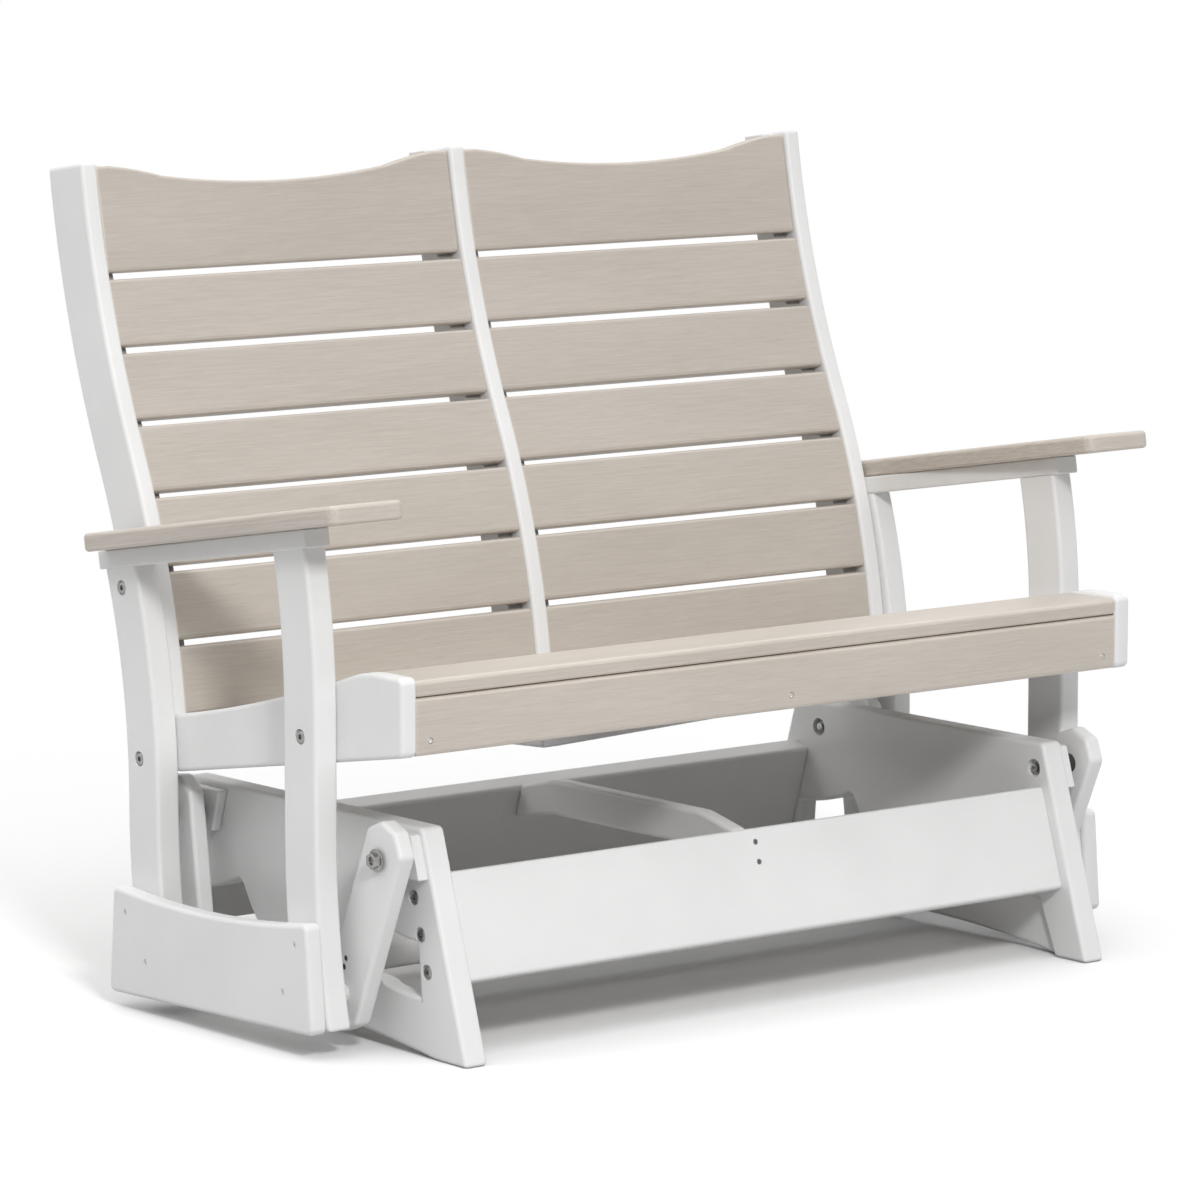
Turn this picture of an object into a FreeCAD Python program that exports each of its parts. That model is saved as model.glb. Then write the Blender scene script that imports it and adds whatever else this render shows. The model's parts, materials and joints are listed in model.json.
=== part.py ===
import FreeCAD, Part
import os
import re
import Sketcher

# Porch glider: a two-seat bench that swings on four links hung from a standing base.
# X runs across the seat, Y from front to rear, Z up. The origin is on the floor under the middle
# of the whole. Places in Y count from the middle of the base, and the finished whole is shifted.
# Millimetres and degrees.

DIMENSIONS = {
    # Board stock
    "thick_board": 36,
    "thin_board": 25,
    "slat_board": 22,
    "edge_ease": 3.5,
    "corner_round": 10,
    "wood_fit": 0.3,
    # Widths, from the seat outward and inward
    "seat_clear_half": 610,
    "link_outer_gap": 18,
    "link_inner_gap": 16,
    "spacer_board": 15,
    # Base side frames
    "base_height": 300,
    "base_past": 82,
    "base_splay": 93,
    "foot_width": 64,
    "leg_inset": 98,
    "opening_low": 78,
    "opening_high": 149,
    "opening_lean": 6,
    "opening_peak": 176,
    "opening_peak_half": 140,
    "opening_sag": 7,
    "web_half": 95,
    "web_foot": 112,
    "web_bulge": 4,
    "rail_sag": 8.5,
    "arch_rise": 20,
    # Cross rails, brace and stretcher of the base
    "rail_low": 100,
    "rail_width": 146,
    "rail_setback": 17,
    "brace_low": 182,
    "brace_depth": 50,
    "brace_rise": 16,
    "brace_shoulder": 70,
    "brace_round": 60,
    "stretcher_low": 66,
    "stretcher_half": 45,
    # Pivots and links
    "pivot_drop": 37,
    "pivot_front_inset": 17,
    "pivot_rear_inset": 54,
    "spacer_half": 37,
    "spacer_half_height": 29,
    "spacer_shift": 16,
    "link_length": 204,
    "link_front_lean": 23,
    "link_rear_lean": 7.27,
    "link_width": 80,
    "link_overhang": 49,
    "link_cut": 24,
    "link_round": 12,
    # Pivot hardware
    "bolt_radius": 6,
    "bolt_play": 0.2,
    "bush_play": 0.05,
    "bush_radius": 9,
    "flange_radius": 14,
    "slack_play": 2.6,
    "slack_wall": 3.5,
    "bush_proud": 3,
    "axial_play": 0.4,
    "upper_collar_radius": 17,
    "lower_collar_radius": 12.5,
    "washer_thick": 2.5,
    "head_radius": 11,
    "head_thick": 7.5,
    "nut_radius": 11,
    "nut_thick": 10,
    "nut_recess_radius": 13,
    "nut_recess": 11,
    # Seat
    "seat_nose": 108,
    "seat_top": 508,
    "seat_front_drop": 102,
    "seat_rear_drop": 186,
    "seat_shift": -17,
    "seat_arc_depth": 400,
    "seat_front_slope": 18,
    "seat_rear_slope": 10,
    "crown_radius": 170,
    "slat_inset": 5,
    "seat_slat_gap": 10.5,
    "nosing_gap": 10,
    "apron_setback": 3,
    "apron_drop": 103,
    "apron_depth": 75,
    "cleat_depth": 38,
    "center_rear_drop": 217,
    # Back
    "post_width": 84,
    "post_drop": 168,
    "post_gap": 2,
    "post_low_lean": 3.5,
    "post_mid": 750,
    "post_mid_lean": 24,
    "post_top": 1126,
    "post_top_lean": 8,
    "post_tail_side": 18,
    "post_tail_center": 50,
    "back_slat_gap": 15,
    "back_foot_clear": 58.7,
    "back_slat_inset": 5,
    "top_slat_width": 146,
    "top_slat_dip": 30,
    "top_slat_horn": 26,
    "top_slat_ogee": 110,
    "back_cleat_thick": 20,
    "back_cleat_depth": 40,
    "back_cleat_clear": 30,
    # Arms
    "arm_post_width": 72,
    "arm_post_radius": 1000,
    "arm_front_bend": 450,
    "arm_rear_bend": 290,
    "arm_low_bend": 270,
    "arm_post_below": 38,
    "arm_slope": 9.2,
    "arm_setback": 44,
    "arm_front_height": 731,
    "arm_lap": 45.5,
    "arm_reach_in": 16,
    "arm_rear_step": 8,
    "arm_reach_out": 40,
    "arm_corner": 14,
    "support_start": 116,
    "support_past": 16,
    "support_width": 40,
    # Lower boards
    "tie_front_reach": 40,
    "tie_rear_reach": 71,
    "tie_flare": 12,
    "tie_below": 41,
    "tie_above": 105,
    "tie_sag": 14,
}

doc = FreeCAD.newDocument("PorchGlider")
sheet = doc.addObject("Spreadsheet::Sheet", "Dims")
for row, (alias, number) in enumerate(DIMENSIONS.items(), start=1):
    sheet.set(f"A{row}", alias.replace("_", " "))
    sheet.set(f"B{row}", str(number))
    sheet.setAlias(f"B{row}", alias)
doc.recompute()


def bind(text):
    """Turn a formula in dimension names into an expression on the sheet."""
    return re.sub(r"[a-z_]+", lambda word: "Dims." + word[0] if word[0] in DIMENSIONS else word[0], str(text))


def value(text):
    result = sheet.evalExpression(bind(text))
    return float(getattr(result, "Value", result))


# The seat sits nearly over the middle of the base, and its depth sets the back, the arms and the base
SEAT_ARC_FRONT = "(seat_shift - seat_arc_depth / 2)"
SEAT_FRONT = f"({SEAT_ARC_FRONT} - seat_nose)"
POST_FOOT = f"({SEAT_ARC_FRONT} + seat_arc_depth + post_gap)"
ARM_FRONT = f"({SEAT_FRONT} + arm_setback)"
BASE_TOP = f"({POST_FOOT} + base_past)"
BASE_FOOT = f"({BASE_TOP} + base_splay)"

# Distances from the centre plane, counted from the seat inward to the base and outward to the arms
ARM_INNER = "(seat_clear_half + thin_board)"
ARM_OUTER = f"({ARM_INNER} + thick_board)"
TIE_OUTER = f"({ARM_OUTER} + thin_board)"
LINK_OUTER = f"({ARM_INNER} - link_outer_gap)"
LINK_INNER = f"({LINK_OUTER} - thin_board)"
SPACER_OUTER = f"({LINK_INNER} - link_inner_gap)"
BASE_OUTER = f"({SPACER_OUTER} - spacer_board)"
BASE_INNER = f"({BASE_OUTER} - thick_board)"
LEFT, RIGHT = -1, 1
SIDES = {"left": LEFT, "right": RIGHT}


# Back posts: an S-curve of two arcs that meet at the steepest lean, from behind the seat to the top
POST_LOW = "(seat_top - post_drop)"
BEND_LOW = f"((post_mid - {POST_LOW}) / (sin(post_mid_lean) - sin(post_low_lean)))"
BEND_HIGH = "((post_top - post_mid) / (sin(post_mid_lean) - sin(post_top_lean)))"
HUB_LOW = (
    f"({POST_FOOT} + {BEND_LOW} * cos(post_low_lean))",
    f"({POST_LOW} - {BEND_LOW} * sin(post_low_lean))",
)
MID_FRONT = f"({HUB_LOW[0]} - {BEND_LOW} * cos(post_mid_lean))"
HUB_HIGH = (
    f"({MID_FRONT} - {BEND_HIGH} * cos(post_mid_lean))",
    f"(post_mid + {BEND_HIGH} * sin(post_mid_lean))",
)


def on_low(lean, inset="0"):
    """Point of the lower arc, a distance behind the front edge of the post."""
    reach = f"({BEND_LOW} - ({inset}))"
    return f"({HUB_LOW[0]} - {reach} * cos({lean}))", f"({HUB_LOW[1]} + {reach} * sin({lean}))"


def on_high(lean, inset="0"):
    """Point of the upper arc, a distance behind the front edge of the post."""
    reach = f"({BEND_HIGH} + ({inset}))"
    return f"({HUB_HIGH[0]} + {reach} * cos({lean}))", f"({HUB_HIGH[1]} - {reach} * sin({lean}))"


# The frame's Y origin is midway between the front toes of the base and the top of the back
FRAME_SHIFT = f"(({BASE_FOOT} - {on_high('post_top_lean', 'post_width')[0]}) / 2)"


def low_x(side, near, far):
    """Lower X of a piece that spans near to far from the centre plane on one side."""
    return near if side == RIGHT else f"-({far})"


def put(obj, x="0", y="0", z="0", tilt=None):
    """Bind a placement to the sheet, moved into the frame; tilt turns the piece about X."""
    if tilt is not None:
        obj.Placement = FreeCAD.Placement(FreeCAD.Vector(), FreeCAD.Rotation(FreeCAD.Vector(1, 0, 0), 1))
        obj.setExpression("Placement.Rotation.Angle", bind(tilt))
    for axis, text in zip("xyz", (x, f"{y} + {FRAME_SHIFT}", z)):
        obj.setExpression(f"Placement.Base.{axis}", bind(text))
    return obj


class Arc:
    """Outline step that reaches its end point on the circle through a middle point."""

    def __init__(self, middle, end):
        self.middle = middle
        self.end = end


def pin(sketch, geometry, position, point, name):
    """Hold a sketch point at a formula position."""
    for axis, text in zip("XY", point):
        hold = Sketcher.Constraint("Distance" + axis, -1, 1, geometry, position, value(text))
        index = sketch.addConstraint(hold)
        sketch.renameConstraint(index, name + axis)
        sketch.setExpression("Constraints." + name + axis, bind(text))


def at(point):
    return FreeCAD.Vector(value(point[0]), value(point[1]), 0)


def new_sketch(body, plane, lift=None):
    sketch = body.newObject("Sketcher::SketchObject", body.Name + "_sketch")
    origin = [item for item in body.Origin.OriginFeatures if item.Role == plane][0]
    sketch.AttachmentSupport = (origin, [""])
    sketch.MapMode = "FlatFace"
    if lift is not None:
        sketch.setExpression("AttachmentOffset.Base.z", bind(lift))
    return sketch


def draw_outline(sketch, steps):
    """Closed outline: plain points are joined by lines, Arc steps by circular arcs."""
    ends = [step.end if isinstance(step, Arc) else step for step in steps]
    joints = []
    for number, step in enumerate(steps):
        start, end = ends[number - 1], ends[number]
        if isinstance(step, Arc):
            curve = sketch.addGeometry(Part.Arc(at(start), at(step.middle), at(end)), False)
            forward = sketch.getPoint(curve, 1).distanceToPoint(at(start)) < 0.001
            joints.append((curve, 1, 2) if forward else (curve, 2, 1))
            spot = sketch.addGeometry(Part.Point(at(step.middle)), True)
            pin(sketch, spot, 1, step.middle, f"middle{number}")
            sketch.addConstraint(Sketcher.Constraint("PointOnObject", spot, 1, curve))
        else:
            joints.append((sketch.addGeometry(Part.LineSegment(at(start), at(end)), False), 1, 2))
    for number, (curve, _, last) in enumerate(joints):
        follower, first, _ = joints[(number + 1) % len(joints)]
        sketch.addConstraint(Sketcher.Constraint("Coincident", curve, last, follower, first))
        pin(sketch, curve, last, ends[number], f"corner{number}")


def draw_circles(sketch, centers, radius):
    for number, center in enumerate(centers):
        circle = Part.Circle(at(center), FreeCAD.Vector(0, 0, 1), value(radius))
        ring = sketch.addGeometry(circle, False)
        tag = f"hole{len(sketch.Constraints)}"
        pin(sketch, ring, 3, center, tag)
        index = sketch.addConstraint(Sketcher.Constraint("Radius", ring, value(radius)))
        sketch.renameConstraint(index, tag + "R")
        sketch.setExpression(f"Constraints.{tag}R", bind(radius))


def board(label, steps, thickness, plane="YZ_Plane", backward=False):
    """A board cut to an outline: one sketch, one pad."""
    body = doc.addObject("PartDesign::Body", label)
    sketch = new_sketch(body, plane)
    draw_outline(sketch, steps)
    pad = body.newObject("PartDesign::Pad", label + "_pad")
    pad.Profile = sketch
    pad.Reversed = backward
    pad.setExpression("Length", bind(thickness))
    doc.recompute()
    return body


def drill(body, centers, radius):
    """Round holes right through a board."""
    sketch = new_sketch(body, "YZ_Plane")
    draw_circles(sketch, centers, radius)
    hole = body.newObject("PartDesign::Pocket", body.Name + "_hole")
    hole.Profile = sketch
    hole.Type = "ThroughAll"
    hole.Midplane = True
    doc.recompute()


def sink(body, centers, radius, depth, face=None):
    """Flat-bottomed round recesses: from the low-X face, or from the face at the given X."""
    sketch = new_sketch(body, "YZ_Plane", face)
    draw_circles(sketch, centers, radius)
    recess = body.newObject("PartDesign::Pocket", body.Name + "_recess")
    recess.Profile = sketch
    recess.Reversed = face is None
    recess.setExpression("Length", bind(depth))
    doc.recompute()


def dress(body, kind, wanted):
    """New fillet or chamfer on the edges of the last feature that pass the test."""
    base = body.Tip
    names = [f"Edge{n}" for n, edge in enumerate(base.Shape.Edges, start=1) if wanted(edge)]
    feature = body.newObject("PartDesign::" + kind, f"{body.Name}_{kind}")
    feature.Base = (base, names)
    return feature


def round_off(body, radius, wanted):
    dress(body, "Fillet", wanted).setExpression("Radius", bind(radius))
    doc.recompute()


def ease(body, wanted):
    """Break the sharp edges of a board."""
    dress(body, "Chamfer", wanted).setExpression("Size", bind("edge_ease"))
    doc.recompute()


def across(edge):
    """Edge that runs along X, from face to face of a side-cut board."""
    first, last = edge.firstVertex().Point, edge.lastVertex().Point
    return abs(first.x - last.x) > 1 and abs(first.y - last.y) + abs(first.z - last.z) < 0.01


def near(*points):
    """Test for edges along X at given corners of the outline."""
    spots = [(value(y), value(z)) for y, z in points]

    def test(edge):
        place = edge.firstVertex().Point
        return across(edge) and any(abs(place.y - y) + abs(place.z - z) < 0.5 for y, z in spots)

    return test


def mirrored(points):
    """Outline points on the rear half turned into points on the front half."""
    return [(f"-({y})", z) for y, z in points]


def bar(label, y_low, y_high, z_low, z_high, length):
    """Straight board with a rectangular section that runs along X, with its long edges eased."""
    body = board(label, [(y_low, z_low), (y_high, z_low), (y_high, z_high), (y_low, z_high)], length)
    ease(body, across)
    return body


# Base side frames
LEG_TAN = "(base_splay / base_height)"
LEG_LEAN = f"atan({LEG_TAN})"
TOE = (BASE_FOOT, "0")
HEEL = (f"{BASE_FOOT} - foot_width", "0")
KNEE = (f"{BASE_FOOT} - leg_inset", "opening_low")
SHIN = (f"{BASE_FOOT} - leg_inset - opening_lean", "opening_high")
PEAK = ("opening_peak_half", "opening_peak")
WEB = ("web_half", "web_foot")
BROW = (f"({SHIN[0]} + {PEAK[0]}) / 2", "(opening_high + opening_peak) / 2 - opening_sag")
FLANK = ("(opening_peak_half + web_half) / 2 + web_bulge", "(opening_peak + web_foot) / 2")
SILL = (f"({KNEE[0]} + web_half) / 2", "(opening_low + web_foot) / 2 - rail_sag")
SHOULDER = (BASE_TOP, "base_height")

front_toe, front_heel, front_knee, front_shin = mirrored([TOE, HEEL, KNEE, SHIN])
front_peak, front_web, front_brow, front_flank = mirrored([PEAK, WEB, BROW, FLANK])
front_sill, front_shoulder = mirrored([SILL, SHOULDER])

SIDE_OUTLINE = [
    front_toe, front_shoulder, SHOULDER, TOE, HEEL, KNEE, SHIN,
    Arc(BROW, PEAK), Arc(FLANK, WEB), front_web,
    Arc(front_flank, front_peak), Arc(front_brow, front_shin), front_knee, front_heel,
]
BOTTOM_RAIL_OUTLINE = [
    front_heel, Arc(("0", "arch_rise"), HEEL), KNEE, Arc(SILL, WEB), front_web, Arc(front_sill, front_knee),
]


def rail_face(height):
    """Y of the rear rail's outer face at a height; the front rail is its mirror image."""
    return f"({BASE_FOOT} - rail_setback - {LEG_TAN} * ({height}))"


RAIL_DEPTH = f"(thick_board / cos({LEG_LEAN}))"
PIVOT_HEIGHT = "(base_height - pivot_drop)"
UPPER_PIVOTS = {
    "front": (f"(pivot_front_inset - {BASE_TOP})", PIVOT_HEIGHT),
    "rear": (f"({BASE_TOP} - pivot_rear_inset)", PIVOT_HEIGHT),
}
for name, side in SIDES.items():
    frame = board(f"base_side_{name}", SIDE_OUTLINE, "thick_board")
    round_off(frame, "corner_round", near(SHOULDER, front_shoulder, PEAK, front_peak))
    inner = None if side == RIGHT else "thick_board"
    drill(frame, UPPER_PIVOTS.values(), "bolt_radius + bolt_play")
    sink(frame, UPPER_PIVOTS.values(), "nut_recess_radius", "nut_recess", inner)
    put(frame, x=low_x(side, BASE_INNER, BASE_OUTER))
    rail = board(f"base_bottom_rail_{name}", BOTTOM_RAIL_OUTLINE, "thin_board")
    put(rail, x=low_x(side, f"{BASE_OUTER} - thin_board", BASE_OUTER))

# Cross rails: set back from the leg edges and parallel to them
for name, turn in (("front", -1), ("rear", 1)):
    depth = ("0", "thick_board") if name == "front" else ("-thick_board", "0")
    rail = bar(f"base_{name}_rail", *depth, "0", "rail_width", f"2 * {BASE_INNER}")
    put(rail, f"-{BASE_INNER}", f"{turn} * {rail_face('rail_low')}", "rail_low", f"{turn} * {LEG_LEAN}")


def brace_end(height):
    return f"({rail_face(height)} - {RAIL_DEPTH})"


BRACE_TOP = "(brace_low + brace_depth)"
brace_rear = [
    (brace_end("brace_low"), "brace_low"),
    (brace_end(BRACE_TOP), BRACE_TOP),
    (f"{brace_end(BRACE_TOP)} - brace_shoulder", f"{BRACE_TOP} + brace_rise"),
    (f"{brace_end(BRACE_TOP)} - brace_shoulder", "brace_low + brace_rise"),
]
low_rear, high_rear, crest_rear, belly_rear = brace_rear
low_front, high_front, crest_front, belly_front = mirrored(brace_rear)
brace = board(
    "base_center_brace",
    [low_rear, high_rear, crest_rear, crest_front, high_front, low_front, belly_front, belly_rear],
    "thin_board",
)
round_off(brace, "brace_round", near(crest_rear, crest_front, belly_rear, belly_front))
put(brace, x="-thin_board / 2")

STRETCHER_END = f"({BASE_OUTER} - thin_board)"
stretcher = bar(
    "base_stretcher", "-stretcher_half", "stretcher_half", "0", "thick_board", f"2 * {STRETCHER_END}"
)
put(stretcher, x=f"-{STRETCHER_END}", z="stretcher_low")

# Spacer blocks on the outside of the side frames, cut parallel to the nearer leg
spacers = []
for name, side in SIDES.items():
    for end, sign, shift in (("front", 1, "spacer_shift"), ("rear", -1, "0")):
        skew = f"{sign} * spacer_half_height * {LEG_TAN}"
        middle = f"{UPPER_PIVOTS[end][0]} + {shift}"
        low, high = f"{PIVOT_HEIGHT} - spacer_half_height", f"{PIVOT_HEIGHT} + spacer_half_height"
        block = board(
            f"spacer_{end}_{name}",
            [
                (f"{middle} - spacer_half - {skew}", low), (f"{middle} + spacer_half - {skew}", low),
                (f"{middle} + spacer_half + {skew}", high), (f"{middle} - spacer_half + {skew}", high),
            ],
            "spacer_board",
        )
        drill(block, [UPPER_PIVOTS[end]], "bolt_radius + bolt_play")
        spacers.append(put(block, x=low_x(side, BASE_OUTER, SPACER_OUTER)))


def group(label, members):
    """Identical loose pieces kept as separate solids of one sub-part."""
    bundle = doc.addObject("Part::Compound", label)
    bundle.Links = members
    return bundle


group("pivot_spacers", spacers)

# Swing links: drawn hanging straight down from the upper pivot, then leaned
LINK_HALF = "link_width / 2"
LINK_TOP = "link_overhang"
LINK_LOW = "-link_length - link_overhang"
LINK_OUTLINE = [
    (f"-{LINK_HALF}", f"{LINK_LOW} + link_cut"), (f"-{LINK_HALF} + link_cut", LINK_LOW),
    (f"{LINK_HALF} - link_cut", LINK_LOW), (LINK_HALF, f"{LINK_LOW} + link_cut"),
    (LINK_HALF, f"{LINK_TOP} - link_cut"), (f"{LINK_HALF} - link_cut", LINK_TOP),
    (f"-{LINK_HALF} + link_cut", LINK_TOP), (f"-{LINK_HALF}", f"{LINK_TOP} - link_cut"),
]
LINK_EYES = {"upper": ("0", "0"), "lower": ("0", "-link_length")}
SLACK_BUSH = "(bolt_radius + slack_play + slack_wall)"


def bush_size(level, end):
    """Radius, bore and flange of a bush; the rear lower pivots are the slack ones of the linkage."""
    if (level, end) == ("lower", "rear"):
        return SLACK_BUSH, "(bolt_radius + slack_play)", f"({SLACK_BUSH} + flange_radius - bush_radius)"
    return "bush_radius", "(bolt_radius + bush_play)", "flange_radius"


LINK_LEAN = {"front": "link_front_lean", "rear": "-link_rear_lean"}
LOWER_PIVOTS = {
    end: (
        f"({UPPER_PIVOTS[end][0]} + link_length * sin({lean}))",
        f"({PIVOT_HEIGHT} - link_length * cos({lean}))",
    )
    for end, lean in LINK_LEAN.items()
}

for name, side in SIDES.items():
    for end, lean in LINK_LEAN.items():
        link = board(f"link_{end}_{name}", LINK_OUTLINE, "thin_board")
        round_off(link, "link_round", across)
        for level, eye in LINK_EYES.items():
            drill(link, [eye], f"{bush_size(level, end)[0]} + bush_play")
        put(link, low_x(side, LINK_INNER, LINK_OUTER), *UPPER_PIVOTS[end], lean)


def turned(label, side, center, near_x, far_x, radius):
    """Plain cylinder along X between two distances from the centre plane."""
    rod = doc.addObject("Part::Cylinder", label)
    rod.Placement = FreeCAD.Placement(FreeCAD.Vector(), FreeCAD.Rotation(FreeCAD.Vector(0, 1, 0), 90))
    rod.setExpression("Radius", bind(radius))
    rod.setExpression("Height", bind(f"{far_x} - ({near_x})"))
    return put(rod, low_x(side, near_x, far_x), *center)


def fused(label, members):
    union = doc.addObject("Part::MultiFuse", label)
    union.Shapes = members
    return union


def bored(label, solid, tool):
    shell = doc.addObject("Part::Cut", label)
    shell.Base = solid
    shell.Tool = tool
    return shell


def hexagon(label, side, center, near_x, far_x, radius):
    """Six-sided prism along X."""
    prism = doc.addObject("Part::Prism", label)
    prism.Placement = FreeCAD.Placement(FreeCAD.Vector(), FreeCAD.Rotation(FreeCAD.Vector(0, 1, 0), 90))
    prism.Polygon = 6
    prism.setExpression("Circumradius", bind(radius))
    prism.setExpression("Height", bind(f"{far_x} - ({near_x})"))
    return put(prism, low_x(side, near_x, far_x), *center)


# Bushes pressed into the links: a tube that stands a little proud of one face, and on the other face
# a thick flange, which fills the gap to the spacer block or to the arm post
BUSH_ENDS = {
    "upper": (f"({SPACER_OUTER} + axial_play)", f"({LINK_OUTER} + bush_proud)"),
    "lower": (f"({LINK_INNER} - bush_proud)", f"({ARM_INNER} - axial_play)"),
}
PIVOTS = {"upper": UPPER_PIVOTS, "lower": LOWER_PIVOTS}
for name, side in SIDES.items():
    for end in LINK_LEAN:
        bushes = []
        for level, (inner_end, outer_end) in BUSH_ENDS.items():
            tag, center = f"bush_{level}_{end}_{name}", PIVOTS[level][end]
            radius, bore_radius, flange = bush_size(level, end)
            flange_ends = (inner_end, LINK_INNER) if level == "upper" else (LINK_OUTER, outer_end)
            tube = turned(tag + "_tube", side, center, inner_end, outer_end, radius)
            thrust = turned(tag + "_thrust", side, center, *flange_ends, flange)
            solid = fused(tag + "_solid", [tube, thrust])
            bore = turned(tag + "_bore", side, center, inner_end, outer_end, bore_radius)
            bushes.append(bored(tag, solid, bore))
        group(f"link_bushes_{end}_{name}", bushes)

# Pivot bolts and nuts: the upper ones belong to the base, the lower ones to the arm posts
HEAD_SEAT = {"upper": f"({BUSH_ENDS['upper'][1]} + axial_play)", "lower": f"({ARM_OUTER} - nut_recess)"}
NUT_SEAT = {"upper": f"({BASE_INNER} + nut_recess)", "lower": f"({BUSH_ENDS['lower'][0]} - axial_play)"}
for level, pivots in PIVOTS.items():
    bolts, nuts = [], []
    for name, side in SIDES.items():
        for end, center in pivots.items():
            tag = f"{level}_{end}_{name}"
            seat, nut_seat = HEAD_SEAT[level], NUT_SEAT[level]
            crown = f"{seat} + washer_thick"
            tip = f"{nut_seat} - nut_thick"
            rod = turned(f"rod_{tag}", side, center, tip, crown, "bolt_radius")
            collar = turned(f"collar_{tag}", side, center, seat, crown, f"{level}_collar_radius")
            head = hexagon(f"head_{tag}", side, center, crown, f"{crown} + head_thick", "head_radius")
            bolts.append(fused(f"bolt_{tag}", [rod, collar, head]))
            nut = hexagon(f"hexagon_{tag}", side, center, tip, nut_seat, "nut_radius")
            bore = turned(f"thread_{tag}", side, center, tip, nut_seat, "bolt_radius + bolt_play")
            nuts.append(bored(f"nut_{tag}", nut, bore))
    group(f"{level}_pivot_bolts", bolts)
    group(f"{level}_pivot_nuts", nuts)

# Back posts
LOW_MIDDLE = "(post_low_lean + post_mid_lean) / 2"
HIGH_MIDDLE = "(post_top_lean + post_mid_lean) / 2"


def tail(length, inset):
    """Point below the curve on the straight tail of the post."""
    across_y, across_z = on_low("post_low_lean", inset)
    return f"{across_y} - {length} * sin(post_low_lean)", f"{across_z} - {length} * cos(post_low_lean)"


def post_front(height):
    """Y of the front edge of a post at a height on its lower arc."""
    sine = f"(({height} - {HUB_LOW[1]}) / {BEND_LOW})"
    return f"({HUB_LOW[0]} - {BEND_LOW} * sqrt(1 - {sine} * {sine}))"


def post_outline(length):
    return [
        tail(length, "0"),
        on_low("post_low_lean"),
        Arc(on_low(LOW_MIDDLE), on_low("post_mid_lean")),
        Arc(on_high(HIGH_MIDDLE), on_high("post_top_lean")),
        on_high("post_top_lean", "post_width"),
        Arc(on_high(HIGH_MIDDLE, "post_width"), on_high("post_mid_lean", "post_width")),
        Arc(on_low(LOW_MIDDLE, "post_width"), on_low("post_low_lean", "post_width")),
        tail(length, "post_width"),
    ]


# Seat profile: the top edge of the seat sides is one long hollow arc with a rounded crown in front
SEAT_BEND = "(seat_arc_depth / (sin(seat_front_slope) - sin(seat_rear_slope)))"
CROWN_FLAT = f"({SEAT_ARC_FRONT} - crown_radius * sin(seat_front_slope))"
SEAT_ARC_TOP = "(seat_top - crown_radius * (1 - cos(seat_front_slope)))"
SEAT_HUB = (
    f"({SEAT_ARC_FRONT} + {SEAT_BEND} * sin(seat_front_slope))",
    f"({SEAT_ARC_TOP} + {SEAT_BEND} * cos(seat_front_slope))",
)


def on_seat(slope, drop="0"):
    """Point a distance below the top edge of the seat sides where that edge has a slope."""
    reach = f"({SEAT_BEND} + ({drop}))"
    return f"({SEAT_HUB[0]} - {reach} * sin({slope}))", f"({SEAT_HUB[1]} - {reach} * cos({slope}))"


SEAT_MIDDLE = "(seat_front_slope + seat_rear_slope) / 2"
REST = "slat_inset + slat_board + wood_fit"
SEAT_FRONT_LOW, SEAT_REAR_LOW = "(seat_top - seat_front_drop)", "(seat_top - seat_rear_drop)"
BUTT = "3 * wood_fit"
SIDE_REAR_TOP = on_seat("seat_rear_slope")[1]
SEAT_SIDE_OUTLINE = [
    (SEAT_FRONT, SEAT_FRONT_LOW),
    (f"{post_front(SEAT_REAR_LOW)} - {BUTT}", SEAT_REAR_LOW),
    (f"{post_front(SIDE_REAR_TOP)} - {BUTT}", SIDE_REAR_TOP),
    on_seat("seat_rear_slope"),
    Arc(on_seat(SEAT_MIDDLE), on_seat("seat_front_slope")),
    Arc(
        (
            f"{SEAT_ARC_FRONT} - crown_radius * (sin(seat_front_slope) - sin(seat_front_slope / 2))",
            "seat_top - crown_radius * (1 - cos(seat_front_slope / 2))",
        ),
        (CROWN_FLAT, "seat_top"),
    ),
    (SEAT_FRONT, "seat_top"),
]

# Arm posts: bent back above, bent forward below, cut to the slope of the arm support
ARM_FALL = "tan(arm_slope)"
SUPPORT_DROP = "(2 * thin_board / cos(arm_slope))"


def arm_height(place, drop="0"):
    """Height of the armrest's top plane, less a drop, at a Y place."""
    return f"(arm_front_height - ({drop}) - {ARM_FALL} * ({place} - {ARM_FRONT}))"


# The armrest runs back beside the outer back post, the support a little further
ARM_REAR = f"({post_front(arm_height(POST_FOOT))} + arm_lap)"
ARM_LENGTH = f"(({ARM_REAR} - {ARM_FRONT}) / cos(arm_slope))"
SUPPORT_END = f"({ARM_LENGTH} + support_past)"


def bent_up(start, bend, height, width="0"):
    """Point of the upper arc of an arm post at a height."""
    reach = f"(arm_post_radius - {width})"
    sine = f"(({height} - {bend}) / {reach})"
    return f"({start} + arm_post_radius - {reach} * sqrt(1 - {sine} * {sine}))", height


def bent_down(start, height, width="0"):
    """Point of the lower arc of an arm post at a height."""
    reach = f"(arm_post_radius + {width})"
    sine = f"((arm_low_bend - ({height})) / {reach})"
    return f"({start} - arm_post_radius + {reach} * sqrt(1 - {sine} * {sine}))", height


def arm_start(end):
    """Y of the front edge of an arm post between its bends, with the lower pivot on its centre line."""
    place, height = LOWER_PIVOTS[end]
    return f"({place} - arm_post_width / 2 - ({bent_down('0', height)[0]}))"


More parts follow.
